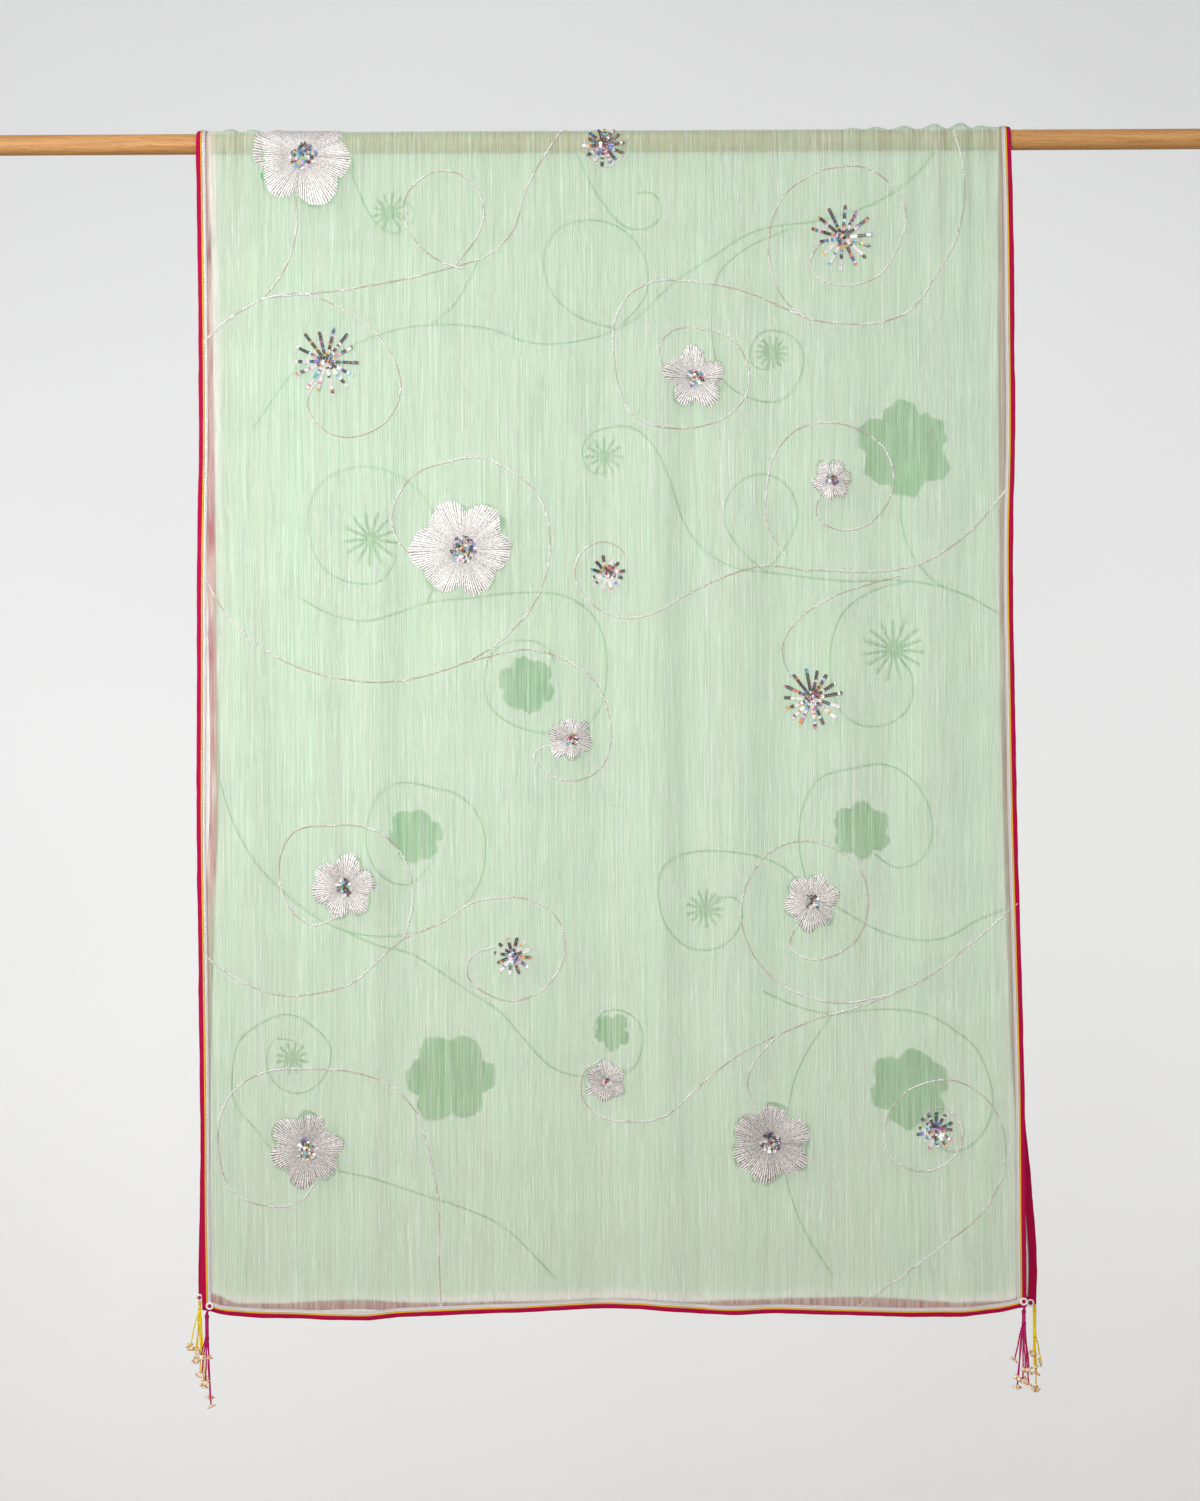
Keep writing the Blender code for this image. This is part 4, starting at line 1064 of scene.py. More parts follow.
class StoleTrimSettings(bpy.types.PropertyGroup):
    satin_colour: colour_property("Satin", "The border's crimson", (0.60, 0.0, 0.08))
    # Painted shade in the border's dips.
    satin_dip_shade: colour_property("Satin shade", "The border's crimson in its dips", (0.34, 0.0, 0.045))
    piping_colour: colour_property("Piping", "The yellow piping", (0.95, 0.66, 0.02))
    # Painted shade in the piping's grooves.
    piping_groove_shade: colour_property("Piping groove", "The yellow between the plies", (0.80, 0.42, 0.01))
    lace_colour: colour_property("Lace", "The silver braid", (0.84, 0.81, 0.84))
    lace_light: colour_property("Lace light", "The braid's bright threads", (0.95, 0.94, 0.98))
    lace_shade: colour_property("Lace shade", "Between the braid's dots", (0.16, 0.12, 0.12))
    stitch_colour: colour_property("Seam stitches", "The brown running stitches", (0.46, 0.27, 0.19))
    lace_pitch: number_property("Lace dots", "Dots in each metre of the braid", 420.0, 50.0)
    pucker: number_property("Pucker", "How far the stitched border waves in and out", 0.00035,
                            unit="LENGTH")


class StoleMotifSettings(bpy.types.PropertyGroup):
    zari_colour: colour_property("Silver thread", "The zari thread", (0.96, 0.93, 0.91))
    zari_light: colour_property("Silver glint", "Where the zari catches light", (1.0, 0.99, 0.98))
    bead_colour: colour_property("Bead", "The crimson bead in each motif", (0.55, 0.01, 0.06))
    petal_lift: number_property("Petal lift", "How far a petal's stitches stand off the cloth", 0.0007,
                                unit="LENGTH")


class StoleTasselSettings(bpy.types.PropertyGroup):
    magenta_colour: colour_property("Magenta", "The front tassels", (0.62, 0.008, 0.17))
    # Painted shade between the plies.
    magenta_groove_shade: colour_property("Magenta shade", "Between the plies", (0.33, 0.002, 0.08))
    gold_colour: colour_property("Yellow", "The back tassels", (1.0, 0.80, 0.015))
    # Painted shade between the plies.
    gold_groove_shade: colour_property("Yellow shade", "Between the plies", (0.95, 0.62, 0.005))
    cup_colour: colour_property("Cups", "The flower-shaped cups", (0.58, 0.22, 0.03))
    cup_light: colour_property("Cups, pale", "The cups' pale petals", (0.97, 0.84, 0.66))
    shell_colour: colour_property("Rings", "The corner rings", (1.0, 0.98, 0.96))
    shell_shade: colour_property("Ring lines", "The rings' growth lines", (0.92, 0.82, 0.76))


class StoleRodSettings(bpy.types.PropertyGroup):
    wood_colour: colour_property("Wood", "The rod's wood", (0.65, 0.325, 0.098))
    wood_light: colour_property("Wood, light", "Pale streaks", (0.74, 0.44, 0.19))
    wood_deep: colour_property("Wood, deep", "Dark streaks", (0.46, 0.20, 0.06))
    wood_pore: colour_property("Pores", "Small dark pores", (0.20, 0.08, 0.025))


class StoleStageSettings(bpy.types.PropertyGroup):
    wall_colour: colour_property("Wall", "The pale wall", (0.83, 0.84, 0.86))
    floor_colour: colour_property("Floor", "The warm floor", (0.40, 0.34, 0.25))
    sky_strength: number_property("Surround", "Strength of the even light all round", 0.46)
    key_power: number_property("Key light", "Power of the soft light at the front left", 1.7, unit="POWER")
    fill_power: number_property("Fill light", "Power of the broad light in front", 110.0, unit="POWER")
    wall_power: number_property("Wall light", "Power of each of the two wall lights", 126.0, unit="POWER")


# ---------------------------------------------------------------------------------------------------
# Pieces
# ---------------------------------------------------------------------------------------------------

def cloth_grid(along):
    """The whole width of cloth at some distances along it: points, outward directions, x, distances
    along, and how far each point is from the nearer side edge and from the hem."""
    along = np.asarray(along, float)[:, None]
    share = np.linspace(0, 1, CLOTH_COLUMNS)
    back, drop = drop_at(along)
    left, right = np.where(back, cloth_edges(BACK, drop), cloth_edges(FRONT, drop))
    x = left + (right - left) * share
    along = along + 0 * x
    beside, above = np.minimum(x - left, right - x), CLOTH_LENGTH - drop + 0 * x
    return surface(x, along, -CLOTH_SINK), surface_axes(x, along)[2], x, along, beside, above


def cells(x, along, size, seed):
    """Smooth noise in cells of a width and a length."""
    return noise(x / size[0], along / size[1], seed)


def edge_tint(x, along, beside, above):
    """The share of its usual cover that the cloth has, and how much pale cream painted light it takes. Beside
    the left trims it lies smooth, takes the most painted light, and shows what is behind it in uneven
    patches, over the hems more evenly."""
    down = CLOTH_LENGTH - above
    weight = np.where(x > 0, RIGHT_SHARE, 1 - smoothstep((down - SIDE_SHEER_END) / SIDE_SHEER_FADE))
    side = weight * (1 - smoothstep((beside - SHEER_START) / SIDE_REACH))
    hem = 1 - smoothstep((above - SHEER_START) / HEM_REACH)
    patches = 0.5 + 0.5 * cells(x, along, SIDE_PATCH, 51) + 0.25 * cells(x, along, SIDE_THREAD, 52)
    cover = 1 + side * (SIDE_COVER + SIDE_PATCHES * patches - 1)
    cover = cover * (1 + hem * (HEM_COVER - 1 + 0.2 * cells(x, along, HEM_THREAD, 53)))
    # Painted light: the share of pale cream beside the side trims and over the hems.
    pale = np.maximum(SIDE_CREAM_LIGHT * side, HEM_CREAM_LIGHT * hem)
    return stack(cover, pale, pale)


class STOLE_OT_cloth(bpy.types.Operator):
    """Make the sheer cloth's two falls and its turn over the rod"""
    bl_idname = "stole.cloth"
    bl_label = "Cloth"

    def execute(self, context):
        material = cloth_material(context.scene.stole_cloth)
        fall = np.linspace(0, CLOTH_LENGTH, FALL_STEPS)
        stretches = [
            ("cloth_front", -fall[::-1], "cloth_front_fall", CLOTH_LENGTH),
            ("cloth_turn", np.linspace(0, ARC, TURN_STEPS), "cloth_over_rod", ARC),
            ("cloth_back", ARC + fall, "cloth_back_fall", CLOTH_LENGTH),
        ]
        for name, along, replaced, length in stretches:
            points, normals, x, along, beside, above = cloth_grid(along)
            shape = Shape()
            shape.add(points, grid_faces(*points.shape[:2]), stack(x, along) * MM,
                      edge_tint(x, along, beside, above))
            piece = shape.piece(name, "mint_cloth", material, [replaced], normals=normals)
        return {"FINISHED"}


# A trim is swept along a path at the cloth's edge. Its section's points are (distance outwards in the
# cloth, depth into it from its outer face).
BORDER_SECTION = [
    (0.0, 0.2), (0.6, -0.1), (1.6, -0.2), (3.0, -0.1), (4.2, 0.15), (4.9, 0.6), (5.1, 1.15), (4.9, 1.75),
    (4.2, 2.2), (2.0, BORDER_DEPTH), (-BORDER_FACING, BORDER_DEPTH), (-BORDER_FACING, 1.5), (0.0, 1.4)]
LACE_SECTION = [
    (-4.9, -0.05), (-4.9, -0.5), (-4.45, -0.85), (-4.0, -0.5), (-3.1, -0.75), (-2.2, -0.5),
    (-1.75, -0.85), (-1.3, -0.5), (-1.3, -0.05)]
PIPING_MIDDLE, PIPING_RADIUS, PIPING_SIDES = (-0.45, -0.55), 0.76, 8
SEAM_INSET, SEAM_STEP, SEAM_LENGTH, SEAM_WIDTH = 5.9, 2.9, 1.9, 0.75


class TrimPath(namedtuple("TrimPath", "points across inwards length")):
    """Points at the cloth's edge, with the directions out of the cloth's edge and into its face."""


def fall_path(fall, spacing):
    """Down a fall's left edge, along its hem and up its right edge, with the corners mitred."""
    drop = np.linspace(0, CLOTH_LENGTH, int(CLOTH_LENGTH / spacing))
    left, right = cloth_edges(fall, drop)
    share = np.linspace(0, 1, int((right[-1] - left[-1]) / spacing))[1:-1]
    x = np.concatenate([left, left[-1] + (right[-1] - left[-1]) * share, right[::-1]])
    drops = np.concatenate([drop, np.full(len(share), CLOTH_LENGTH), drop[::-1]])
    points = surface(*place_on(fall, x, drops), crinkled=False)
    across = np.concatenate([
        np.tile((-1.0, 0.0, 0.0), (len(drop), 1)), np.tile((0.0, 0.0, -1.0), (len(share), 1)),
        np.tile((1.0, 0.0, 0.0), (len(drop), 1))])
    across[len(drop) - 1] = (-1, 0, -1)
    across[len(drop) + len(share)] = (1, 0, -1)
    inwards = np.tile((0.0, -fall.side, 0.0), (len(points), 1))
    return TrimPath(points, across, inwards, path_length(points))


def turn_path(side, steps):
    """Over the rod at the cloth's left or right edge."""
    along = np.linspace(0, ARC, steps)
    x = cloth_edges(FRONT, 0 * along)[0 if side < 0 else 1]
    points = surface(x, along, crinkled=False)
    angle = along / ARC * math.pi
    across = np.tile((float(side), 0.0, 0.0), (steps, 1))
    inwards = stack(0, np.cos(angle), -np.sin(angle))
    return TrimPath(points, across, inwards, path_length(points))


def sweep(shape, path, section, pucker=0.0, seed=0):
    """A closed section carried along a path, as outwards times across plus depth times inwards. A slow
    noise widens and narrows it, and both ends are drawn in."""
    out, depth = np.array(section).T
    slow = path.length / 997
    wave = noise(path.length / 23, slow, seed) + 0.5 * noise(path.length / 8, slow, seed + 1)
    wobble = 1 + pucker / BORDER_WIDTH * wave[:, None] * (out[None, :] > 1)
    rise = 0.4 * pucker * noise(path.length / 13, slow, seed + 2)
    points = (path.points[:, None] + (out[None, :] * wobble)[..., None] * path.across[:, None]
              + (depth[None, :] + rise[:, None])[..., None] * path.inwards[:, None])
    middle = points.mean(axis=1, keepdims=True)
    ends = middle + 1e-4 * (points - middle)
    points = np.concatenate([ends[:1], points, ends[-1:]])
    length = np.concatenate([path.length[:1], path.length, path.length[-1:]])
    uv = stack(length[:, None] * MM, np.arange(len(out)) / len(out))
    shape.add(points, grid_faces(len(points), len(out), closed=True)[:, ::-1], uv)


def piping_section():
    """A circle, for the piping's cord."""
    angle = round_angles(PIPING_SIDES)
    return np.array(PIPING_MIDDLE) + PIPING_RADIUS * stack(np.cos(angle), np.sin(angle))


def stitch_shape(rows):
    """One small stitch: a ball of four sides, flatter than wide, pointed at both ends of its first axis."""
    points, faces = ball(rows, 4)
    return points[:, [2, 0, 1]] * (0.5, 0.5, 0.35), faces


def add_seam_stitches(shape, path):
    """Running stitches beside the lace: short beads at even steps along the path."""
    steps = np.arange(0, path.length[-1], SEAM_STEP)
    points, across, inwards = (read_along(steps, path.length, values) for values in path[:3])
    keep = np.abs(across).max(axis=1) > 0.999
    points, across, inwards = points[keep], across[keep], inwards[keep]
    along = np.cross(across, inwards)
    axes = np.stack([along * SEAM_LENGTH, across * SEAM_WIDTH, -inwards * SEAM_WIDTH], axis=1)
    origins = points - SEAM_INSET * across + 0.1 * inwards
    stitch, faces = stitch_shape(3)
    shape.add_copies(stitch, faces, origins, axes)


class STOLE_OT_trims(bpy.types.Operator):
    """Make the satin border, the piping, the lace and the seam stitches round the cloth"""
    bl_idname = "stole.trims"
    bl_label = "Border, piping and lace"

    def execute(self, context):
        settings = context.scene.stole_trims
        satin = satin_material(settings)
        cord = thread_material("piping_cord", settings.piping_colour, settings.piping_groove_shade, 450.0, 1.0)
        lace = lace_material(settings)
        seam = thread_material("seam_thread", settings.stitch_colour, settings.stitch_colour, 1.0, 1.0)
        stretches = [("front", fall_path(FRONT, 3.0)), ("back", fall_path(BACK, 3.0)),
                     ("over_rod_left", turn_path(-1, 25)), ("over_rod_right", turn_path(1, 25))]
        seams = Shape()
        pucker = settings.pucker / MM
        for seed, (name, path) in enumerate(stretches):
            border, piping, braid = Shape(), Shape(), Shape()
            if name == "over_rod_left":
                path = TrimPath(path.points[::-1], path.across[::-1], path.inwards[::-1], path.length)
            sweep(border, path, BORDER_SECTION, pucker, 31 + 4 * seed)
            sweep(piping, path, piping_section()[::-1])
            sweep(braid, path, LACE_SECTION[::-1])
            border.piece("satin_" + name, "crimson_satin", satin, ["border_" + name], sharp=50)
            piping.piece("cord_" + name, "yellow_piping", cord, ["piping_" + name])
            braid.piece("braid_" + name, "silver_lace", lace, ["lace_" + name], sharp=50)
            add_seam_stitches(seams, path)
        seams.piece("seam_stitches", "gold_thread", seam)
        return {"FINISHED"}


def petal_edge(flower, angle, seed):
    """How far a flower reaches at each angle, the seam between its petals, and which petal is there.

    Each petal is a disc away from the middle, so the edge is the furthest crossing of the ray with
    any disc: d cos(a) + sqrt(r^2 - d^2 sin(a)^2)."""
    random = np.random.default_rng(seed)
    turns = math.radians(flower.turn) + 2 * math.pi * np.arange(flower.petals) / flower.petals
    turns = turns + random.uniform(-0.10, 0.10, flower.petals)
    size = flower.radius * random.uniform(0.94, 1.05, flower.petals)
    away = angle[:, None] - turns[None, :]
    inside = (PETAL_RADIUS * size) ** 2 - (PETAL_CENTRE * size * np.sin(away)) ** 2
    crossing = PETAL_CENTRE * size * np.cos(away) + np.sqrt(np.maximum(inside, 0))
    reach = np.where((inside > 0) & (np.cos(away) > 0), crossing, 0.3 * flower.radius)
    order = np.sort(reach, axis=1)
    return order[:, -1], order[:, -1] - order[:, -2], reach.argmax(axis=1)


def add_flower(petals, fall, flower, seed, lift):
    """Radial satin stitches: a ring-shaped grid with a crest and a groove for each thread. Threads end
    unevenly at the rim, and short dips part the stitches, shifted from thread to thread."""
    random = np.random.default_rng(seed)
    threads = int(2 * math.pi * flower.radius * 0.85 / THREAD_PITCH)
    rows = max(int(flower.radius / PETAL_ROW), 10)
    column = np.arange(2 * threads)
    thread, is_crest = column // 2, column % 2 == 0
    angle = column * math.pi / threads
    edge, seam, petal = petal_edge(flower, angle, seed)
    uneven = random.uniform(-0.9, 0.6, threads)[thread] - np.where(is_crest, 0.0, 1.1)
    wave = noise(RIM_WAVES * (2 + np.cos(angle)), RIM_WAVES * (2 + np.sin(angle)) + seed, 62)
    edge = edge * (1 + RIM_WAVE * wave) + uneven
    share = np.linspace(0, 1, rows)[:, None]
    eye = flower.radius * FLOWER_EYE
    radius = eye + (edge - eye) * share
    crest = np.where(is_crest, THREAD_CREST, -THREAD_CREST)
    phase = random.uniform(0, 1, threads)[thread]
    dips = np.abs(np.sin(math.pi * (radius / THREAD_LENGTH + phase)))
    dome = smoothstep((1 - share) / 0.18) * (0.55 + 0.45 * smoothstep(share * 3))
    furrow = 0.5 * np.exp(-seam / 1.6) * smoothstep(share * 1.5)
    height = STITCH_SEAT + lift * dome + crest * (0.4 + 0.6 * dips) - furrow * lift
    start_x, start_along = place_on(fall, flower.x, flower.drop)
    x = start_x + radius * np.cos(angle)
    along = start_along + radius * np.sin(angle)
    # Painted light: each petal gets its own brightness for the light it catches.
    lobe = random.uniform(1.05, 1.16, flower.petals)[petal]
    own = random.uniform(0.90, 1.12, threads)[thread]
    # Painted shade in the groove between threads.
    valley = np.where(is_crest, 1.0, random.uniform(0.0, 0.32, threads)[thread])
    # Each flower's painted light, and painted shade along the seams between petals.
    shade = flower.shine * lobe * own * valley * (1 - 0.3 * np.exp(-seam / 1.2))
    # Painted shade in the dips that part the stitches, and darker towards the middle.
    shade = shade * (0.60 + 0.40 * smoothstep(dips * 2.6)) * (0.92 + 0.08 * share)
    warm = 1 - 0.05 * random.uniform(0, 1, threads)[thread]
    duller = shade * warm * 0.985
    petals.add(worked(x, along, height), grid_faces(rows, 2 * threads, closed=True)[:, ::-1],
               stack(column / 2.0, radius * MM), np.clip(stack(shade, duller, duller), 0, 1))


def sequin_shape():
    """A flat cup with a round hole: an outer ring that is raised a little over an inner one."""
    angle = round_angles(8)
    radius = np.array([0.3, 0.72, 1.0])[:, None]
    height = np.array([0.0, 0.05, 0.26])[:, None]
    points = stack(radius * np.cos(angle), radius * np.sin(angle), height)
    return points.reshape(-1, 3), grid_faces(3, 8, closed=True)[:, ::-1]


def add_sequins(shape, x, along, height, lean_angle, lean, radius, tints):
    """Sequins at places on the cloth, each leaning towards one side by its own slope."""
    origins = worked(x, along, height)
    across, length, outwards = surface_axes(x, along)
    toward = np.cos(lean_angle)[:, None] * across + np.sin(lean_angle)[:, None] * length
    side = np.cross(outwards, toward)
    slope = np.radians(lean)[:, None]
    first = toward * np.cos(slope) + outwards * np.sin(slope)
    normal = outwards * np.cos(slope) - toward * np.sin(slope)
    axes = np.stack([first, side, normal], axis=1) * np.asarray(radius).reshape(-1, 1, 1)
    points, faces = sequin_shape()
    shape.add_copies(points, faces, origins, axes, tints)


def flashes(random, brightness):
    """A colour for each sequin: bright with the given chance, else dark, and now and then vivid."""
    number = len(brightness)
    dark, bright, rare = (np.array(colours)[random.integers(0, len(colours), number)]
                          for colours in (DARK_FLASHES, BRIGHT_FLASHES, RARE_FLASHES))
    colour = np.where((random.uniform(0, 1, number) < brightness)[:, None], bright, dark)
    return np.where((random.uniform(0, 1, number) < VIVID_SHARE)[:, None], rare, colour)


def add_beads(shape, x, along, radius):
    """Round beads of one size at places on the cloth, on top of the sequins."""
    points, faces = ball(7, 10)
    axes = np.broadcast_to(np.eye(3) * radius, (len(x), 3, 3))
    shape.add_copies(points, faces, worked(x, along, 1.9), axes)


def add_heart(sequins, beads, clear_beads, fall, x, drop, reach, random):
    """A motif's middle: a pile of sequins in a disc with a crimson bead and a few clear ones."""
    x, along = place_on(fall, x, drop)
    number = max(int(1.5 * (reach / SEQUIN_RADIUS) ** 2), 6)
    angle = random.uniform(0, 2 * math.pi, number)
    away = reach * np.sqrt(random.uniform(0, 1, number))
    # Painted reflection: the heart's sequins flash brighter on one side.
    side = np.sin(angle + 0.6)
    tints = flashes(random, 0.5 - 0.35 * side)
    add_sequins(sequins, x + away * np.cos(angle), along + away * np.sin(angle),
                random.uniform(0.9, 1.7, number), random.uniform(0, 2 * math.pi, number),
                random.uniform(5, 32, number), random.uniform(0.8, 1.1, number) * SEQUIN_RADIUS, tints)
    add_beads(beads, np.array([x]), np.array([along]), BEAD_RADIUS)
    angle = random.uniform(0, 2 * math.pi, 5)
    away = reach * random.uniform(0.35, 0.95, 5)
    add_beads(clear_beads, x + away * np.cos(angle), along + away * np.sin(angle), 0.62 * BEAD_RADIUS)


def add_burst(sequins, beads, clear_beads, fall, burst, seed):
    """Rays of overlapping sequins round a heart. Their colours are painted reflections: rays that point up
    flash dark and rays down bright, but now and then a ray goes its own way."""
    random = np.random.default_rng(seed)
    up = 1 if fall is FRONT else -1
    turns = math.radians(burst.turn) + 2 * math.pi * np.arange(burst.rays) / burst.rays
    turns += random.uniform(-0.07, 0.07, burst.rays)
    reach = burst.radius * random.uniform(0.90, 1.03, burst.rays)
    bright = smoothstep(0.44 - up * 0.5 * np.sin(turns + 0.25))
    bright = np.where(random.uniform(0, 1, burst.rays) < 0.2, 1 - bright, bright)
    away = np.arange(BURST_HEART * 0.9, burst.radius * 1.03, SEQUIN_STEP)
    angle, away = np.meshgrid(turns, away, indexing="ij")
    kept = away < reach[:, None]
    waves = 0.35 * np.sin(away / 2.6 + random.uniform(0, 6, burst.rays)[:, None])
    chance = np.clip(bright[:, None] + waves, 0.06, 0.94)[kept]
    angle, away = angle[kept], away[kept]
    number = len(away)
    wander = random.uniform(-0.12, 0.12, number)
    x, along = place_on(fall, burst.x, burst.drop)
    add_sequins(sequins, x + away * np.cos(angle) - wander * np.sin(angle),
                along + away * np.sin(angle) + wander * np.cos(angle), 0.75, angle,
                SEQUIN_TILT + random.uniform(-5, 5, number), SEQUIN_RADIUS, flashes(random, chance))
    add_heart(sequins, beads, clear_beads, fall, burst.x, burst.drop, BURST_HEART, random)


class STOLE_OT_motifs(bpy.types.Operator):
    """Work the silver flowers and the sequin bursts on both falls"""
    bl_idname = "stole.motifs"
    bl_label = "Flowers and bursts"

    def execute(self, context):
        settings = context.scene.stole_motifs
        zari, sequin = zari_material(settings), sequin_material()
        crimson = bead_material("crimson_bead", settings.bead_colour)
        clear = bead_material("pearl_bead", (0.86, 0.83, 0.80))
        for fall in FALLS:
            petals, sequins, beads, clear_beads = Shape(), Shape(), Shape(), Shape()
            for seed, flower in enumerate(fall.flowers, fall.seed):
                add_flower(petals, fall, flower, seed, settings.petal_lift / MM)
                add_heart(sequins, beads, clear_beads, fall, flower.x, flower.drop,
                          flower.radius * FLOWER_HEART, np.random.default_rng(seed + 50))
            for seed, burst in enumerate(fall.bursts, fall.seed + 70):
                add_burst(sequins, beads, clear_beads, fall, burst, seed)
            petals.piece("flowers_" + fall.name, "silver_thread", zari, smooth=False)
            sequins.piece("sequins_" + fall.name, "sequin", sequin, smooth=False)
            beads.piece("crimson_beads_" + fall.name, "sequin", crimson)
            clear_beads.piece("pearl_beads_" + fall.name, "sequin", clear)
        return {"FINISHED"}


def add_ribbon(shape, places, width, height):
    """A flat ribbon along a route of places, square to the route within the cloth."""
    ahead = unit(np.gradient(places, axis=0))
    side = stack(ahead[:, 1], -ahead[:, 0]) * width / 2
    places = np.stack([places - side, places + side], axis=1)
    shape.add(worked(places[..., 0], places[..., 1], height), grid_faces(len(places), 2), places * MM)


def add_wrong_side(shape, fall, routes):
    """The bobbin thread behind each motif, just inside the cloth: lobed patches, rays and ribbons."""
    depth = -CLOTH_SINK - 0.3
    angle = round_angles(120)
    share = np.array([0.02, 0.35, 0.7, 1.0])[:, None]
    for number, flower in enumerate(fall.flowers):
        wave = noise(RIM_WAVES * (3 + 2 * np.cos(angle)), RIM_WAVES * (3 + 2 * np.sin(angle)) + number, 63)
        radius = petal_edge(flower, angle, fall.seed + number)[0] * (1 + 1.5 * RIM_WAVE * wave) * share
        x, along = place_on(fall, flower.x, flower.drop)
        x, along = x + radius * np.cos(angle), along + radius * np.sin(angle)
        shape.add(worked(x, along, depth), grid_faces(*x.shape, closed=True)[:, ::-1], stack(x, along) * MM)
    for burst in fall.bursts:
        start = np.array(place_on(fall, burst.x, burst.drop), float)
        for ray in range(burst.rays):
            turn = math.radians(burst.turn) + 2 * math.pi * ray / burst.rays
            away = np.linspace(2.0, burst.radius * 0.95, 8)[:, None]
            add_ribbon(shape, start + away * (math.cos(turn), math.sin(turn)), RAY_WIDTH, depth)
    for route in routes:
        add_ribbon(shape, route, RIBBON_WIDTH, depth)


def add_stitches(shape, route, random):
    """Couched stitches end to end along a route of places, leaning to and fro. Runs of them lie thick with a
    painted glint, and runs between them thin and dull, as a slow noise along the route says."""
    number = len(route)
    ahead = np.gradient(route, axis=0)
    lean = random.uniform(0.10, 0.30, number) * np.where(np.arange(number) % 2, 1, -1)
    turn = np.arctan2(ahead[:, 1], ahead[:, 0]) + lean
    across, length, outwards = surface_axes(route[:, 0], route[:, 1])
    first = np.cos(turn)[:, None] * across + np.sin(turn)[:, None] * length
    slow = noise(np.arange(number) / STITCH_RUN, random.uniform(0, 400) + np.zeros(number), 61)
    # Painted glint: runs of stitches are painted bright, and drawn thicker, as a slow noise says.
    glint_run = smoothstep(0.62 + 1.4 * slow + random.uniform(-0.45, 0.45, number))[:, None]
    size = random.uniform(0.85, 1.12, number)[:, None] * STITCH_LENGTH
    width = STITCH_WIDTH * random.uniform(0.85, 1.15, number)[:, None] * (0.72 + 0.42 * glint_run)
    axes = np.stack([first * size, np.cross(outwards, first) * width, outwards * width], axis=1)
    tints = DULL_THREAD + (np.ones(3) - DULL_THREAD) * glint_run
    stitch, faces = stitch_shape(4)
    shape.add_copies(stitch, faces, worked(route[:, 0], route[:, 1], STITCH_SEAT), axes, tints)


class STOLE_OT_vines(bpy.types.Operator):
    """Couch the silver vines on both falls and lay the bobbin thread behind all the embroidery"""
    bl_idname = "stole.vines"
    bl_label = "Vines and wrong side"

    def execute(self, context):
        settings = context.scene.stole_motifs
        # Here the zari colour is the painted shade in the grooves, under the glint colour.
        couched = thread_material("couched_silver", settings.zari_light, settings.zari_colour, 2.0, 1.0)
        bobbin = wrong_side_material(context.scene.stole_cloth)
        for fall in FALLS:
            random = np.random.default_rng(fall.seed + 90)
            thread, wrong = Shape(), Shape()
            routes = [rounded_route(stack(*place_on(fall, *np.array(vine, float).T)), STITCH_STEP)
                      for vine in fall.vines]
            for route in routes:
                add_stitches(thread, route, random)
            add_wrong_side(wrong, fall, routes)
            thread.piece("vines_" + fall.name, "silver_thread", couched)
            wrong.piece("wrong_side_" + fall.name, "mint_cloth", bobbin)
        return {"FINISHED"}


def corner_place(corner):
    """A finished corner's x, how far its outer face stands out from the rod, and its z."""
    fall, is_left = corner.fall, corner.side < 0
    left, right = (float(edge) for edge in cloth_edges(fall, CLOTH_LENGTH))
    x = left - BORDER_WIDTH - GAP if is_left else right + BORDER_WIDTH + GAP
    name = "left_out" if is_left else "right_out"
    swing = float(read(fall.edges, CLOTH_LENGTH - FLAT_EDGE, "drop", name))
    return x, TURN_RADIUS + swing + EDGE_LIFT + WALL, -float(read(fall.hem, x, "x", "drop"))


def ring_middle(corner):
    """The middle of a corner's ring: on the border's outer face in front, on its inner face at the back."""
    x, face_out, z = corner_place(corner)
    seat = face_out + 2 * GAP + TRIM_WALL + RING_WIRE
    if corner.fall is BACK:
        seat = face_out - BORDER_DEPTH - GAP - RING_WIRE
    return np.array([x - corner.side * corner.ring_inset, corner.fall.side * seat, z + corner.ring_rise])


def add_lead(shape, middle, top):
    """Three threads side by side from a ring's lower side, over the border's face, into the tassel's head."""
    end = top - (0, 0, LEAD_REACH)
    start = middle - (0, 0, RING_RADIUS)
    bend = np.array([top[0], top[1] + 1.6 * (middle[1] - top[1]), top[2] + 1.0])
    path = bent(start, bend, end, np.linspace(0, 1, 16)[:, None])
    for side in (-1, 0, 1):
        add_tube(shape, path + (side * LEAD_RADIUS, 0, 0), LEAD_RADIUS, THREAD_SIDES)


def corner_name(kind, corner):
    """The name of a kind of piece at a corner."""
    return f"{kind}_{corner.fall.name}_{'left' if corner.side < 0 else 'right'}"


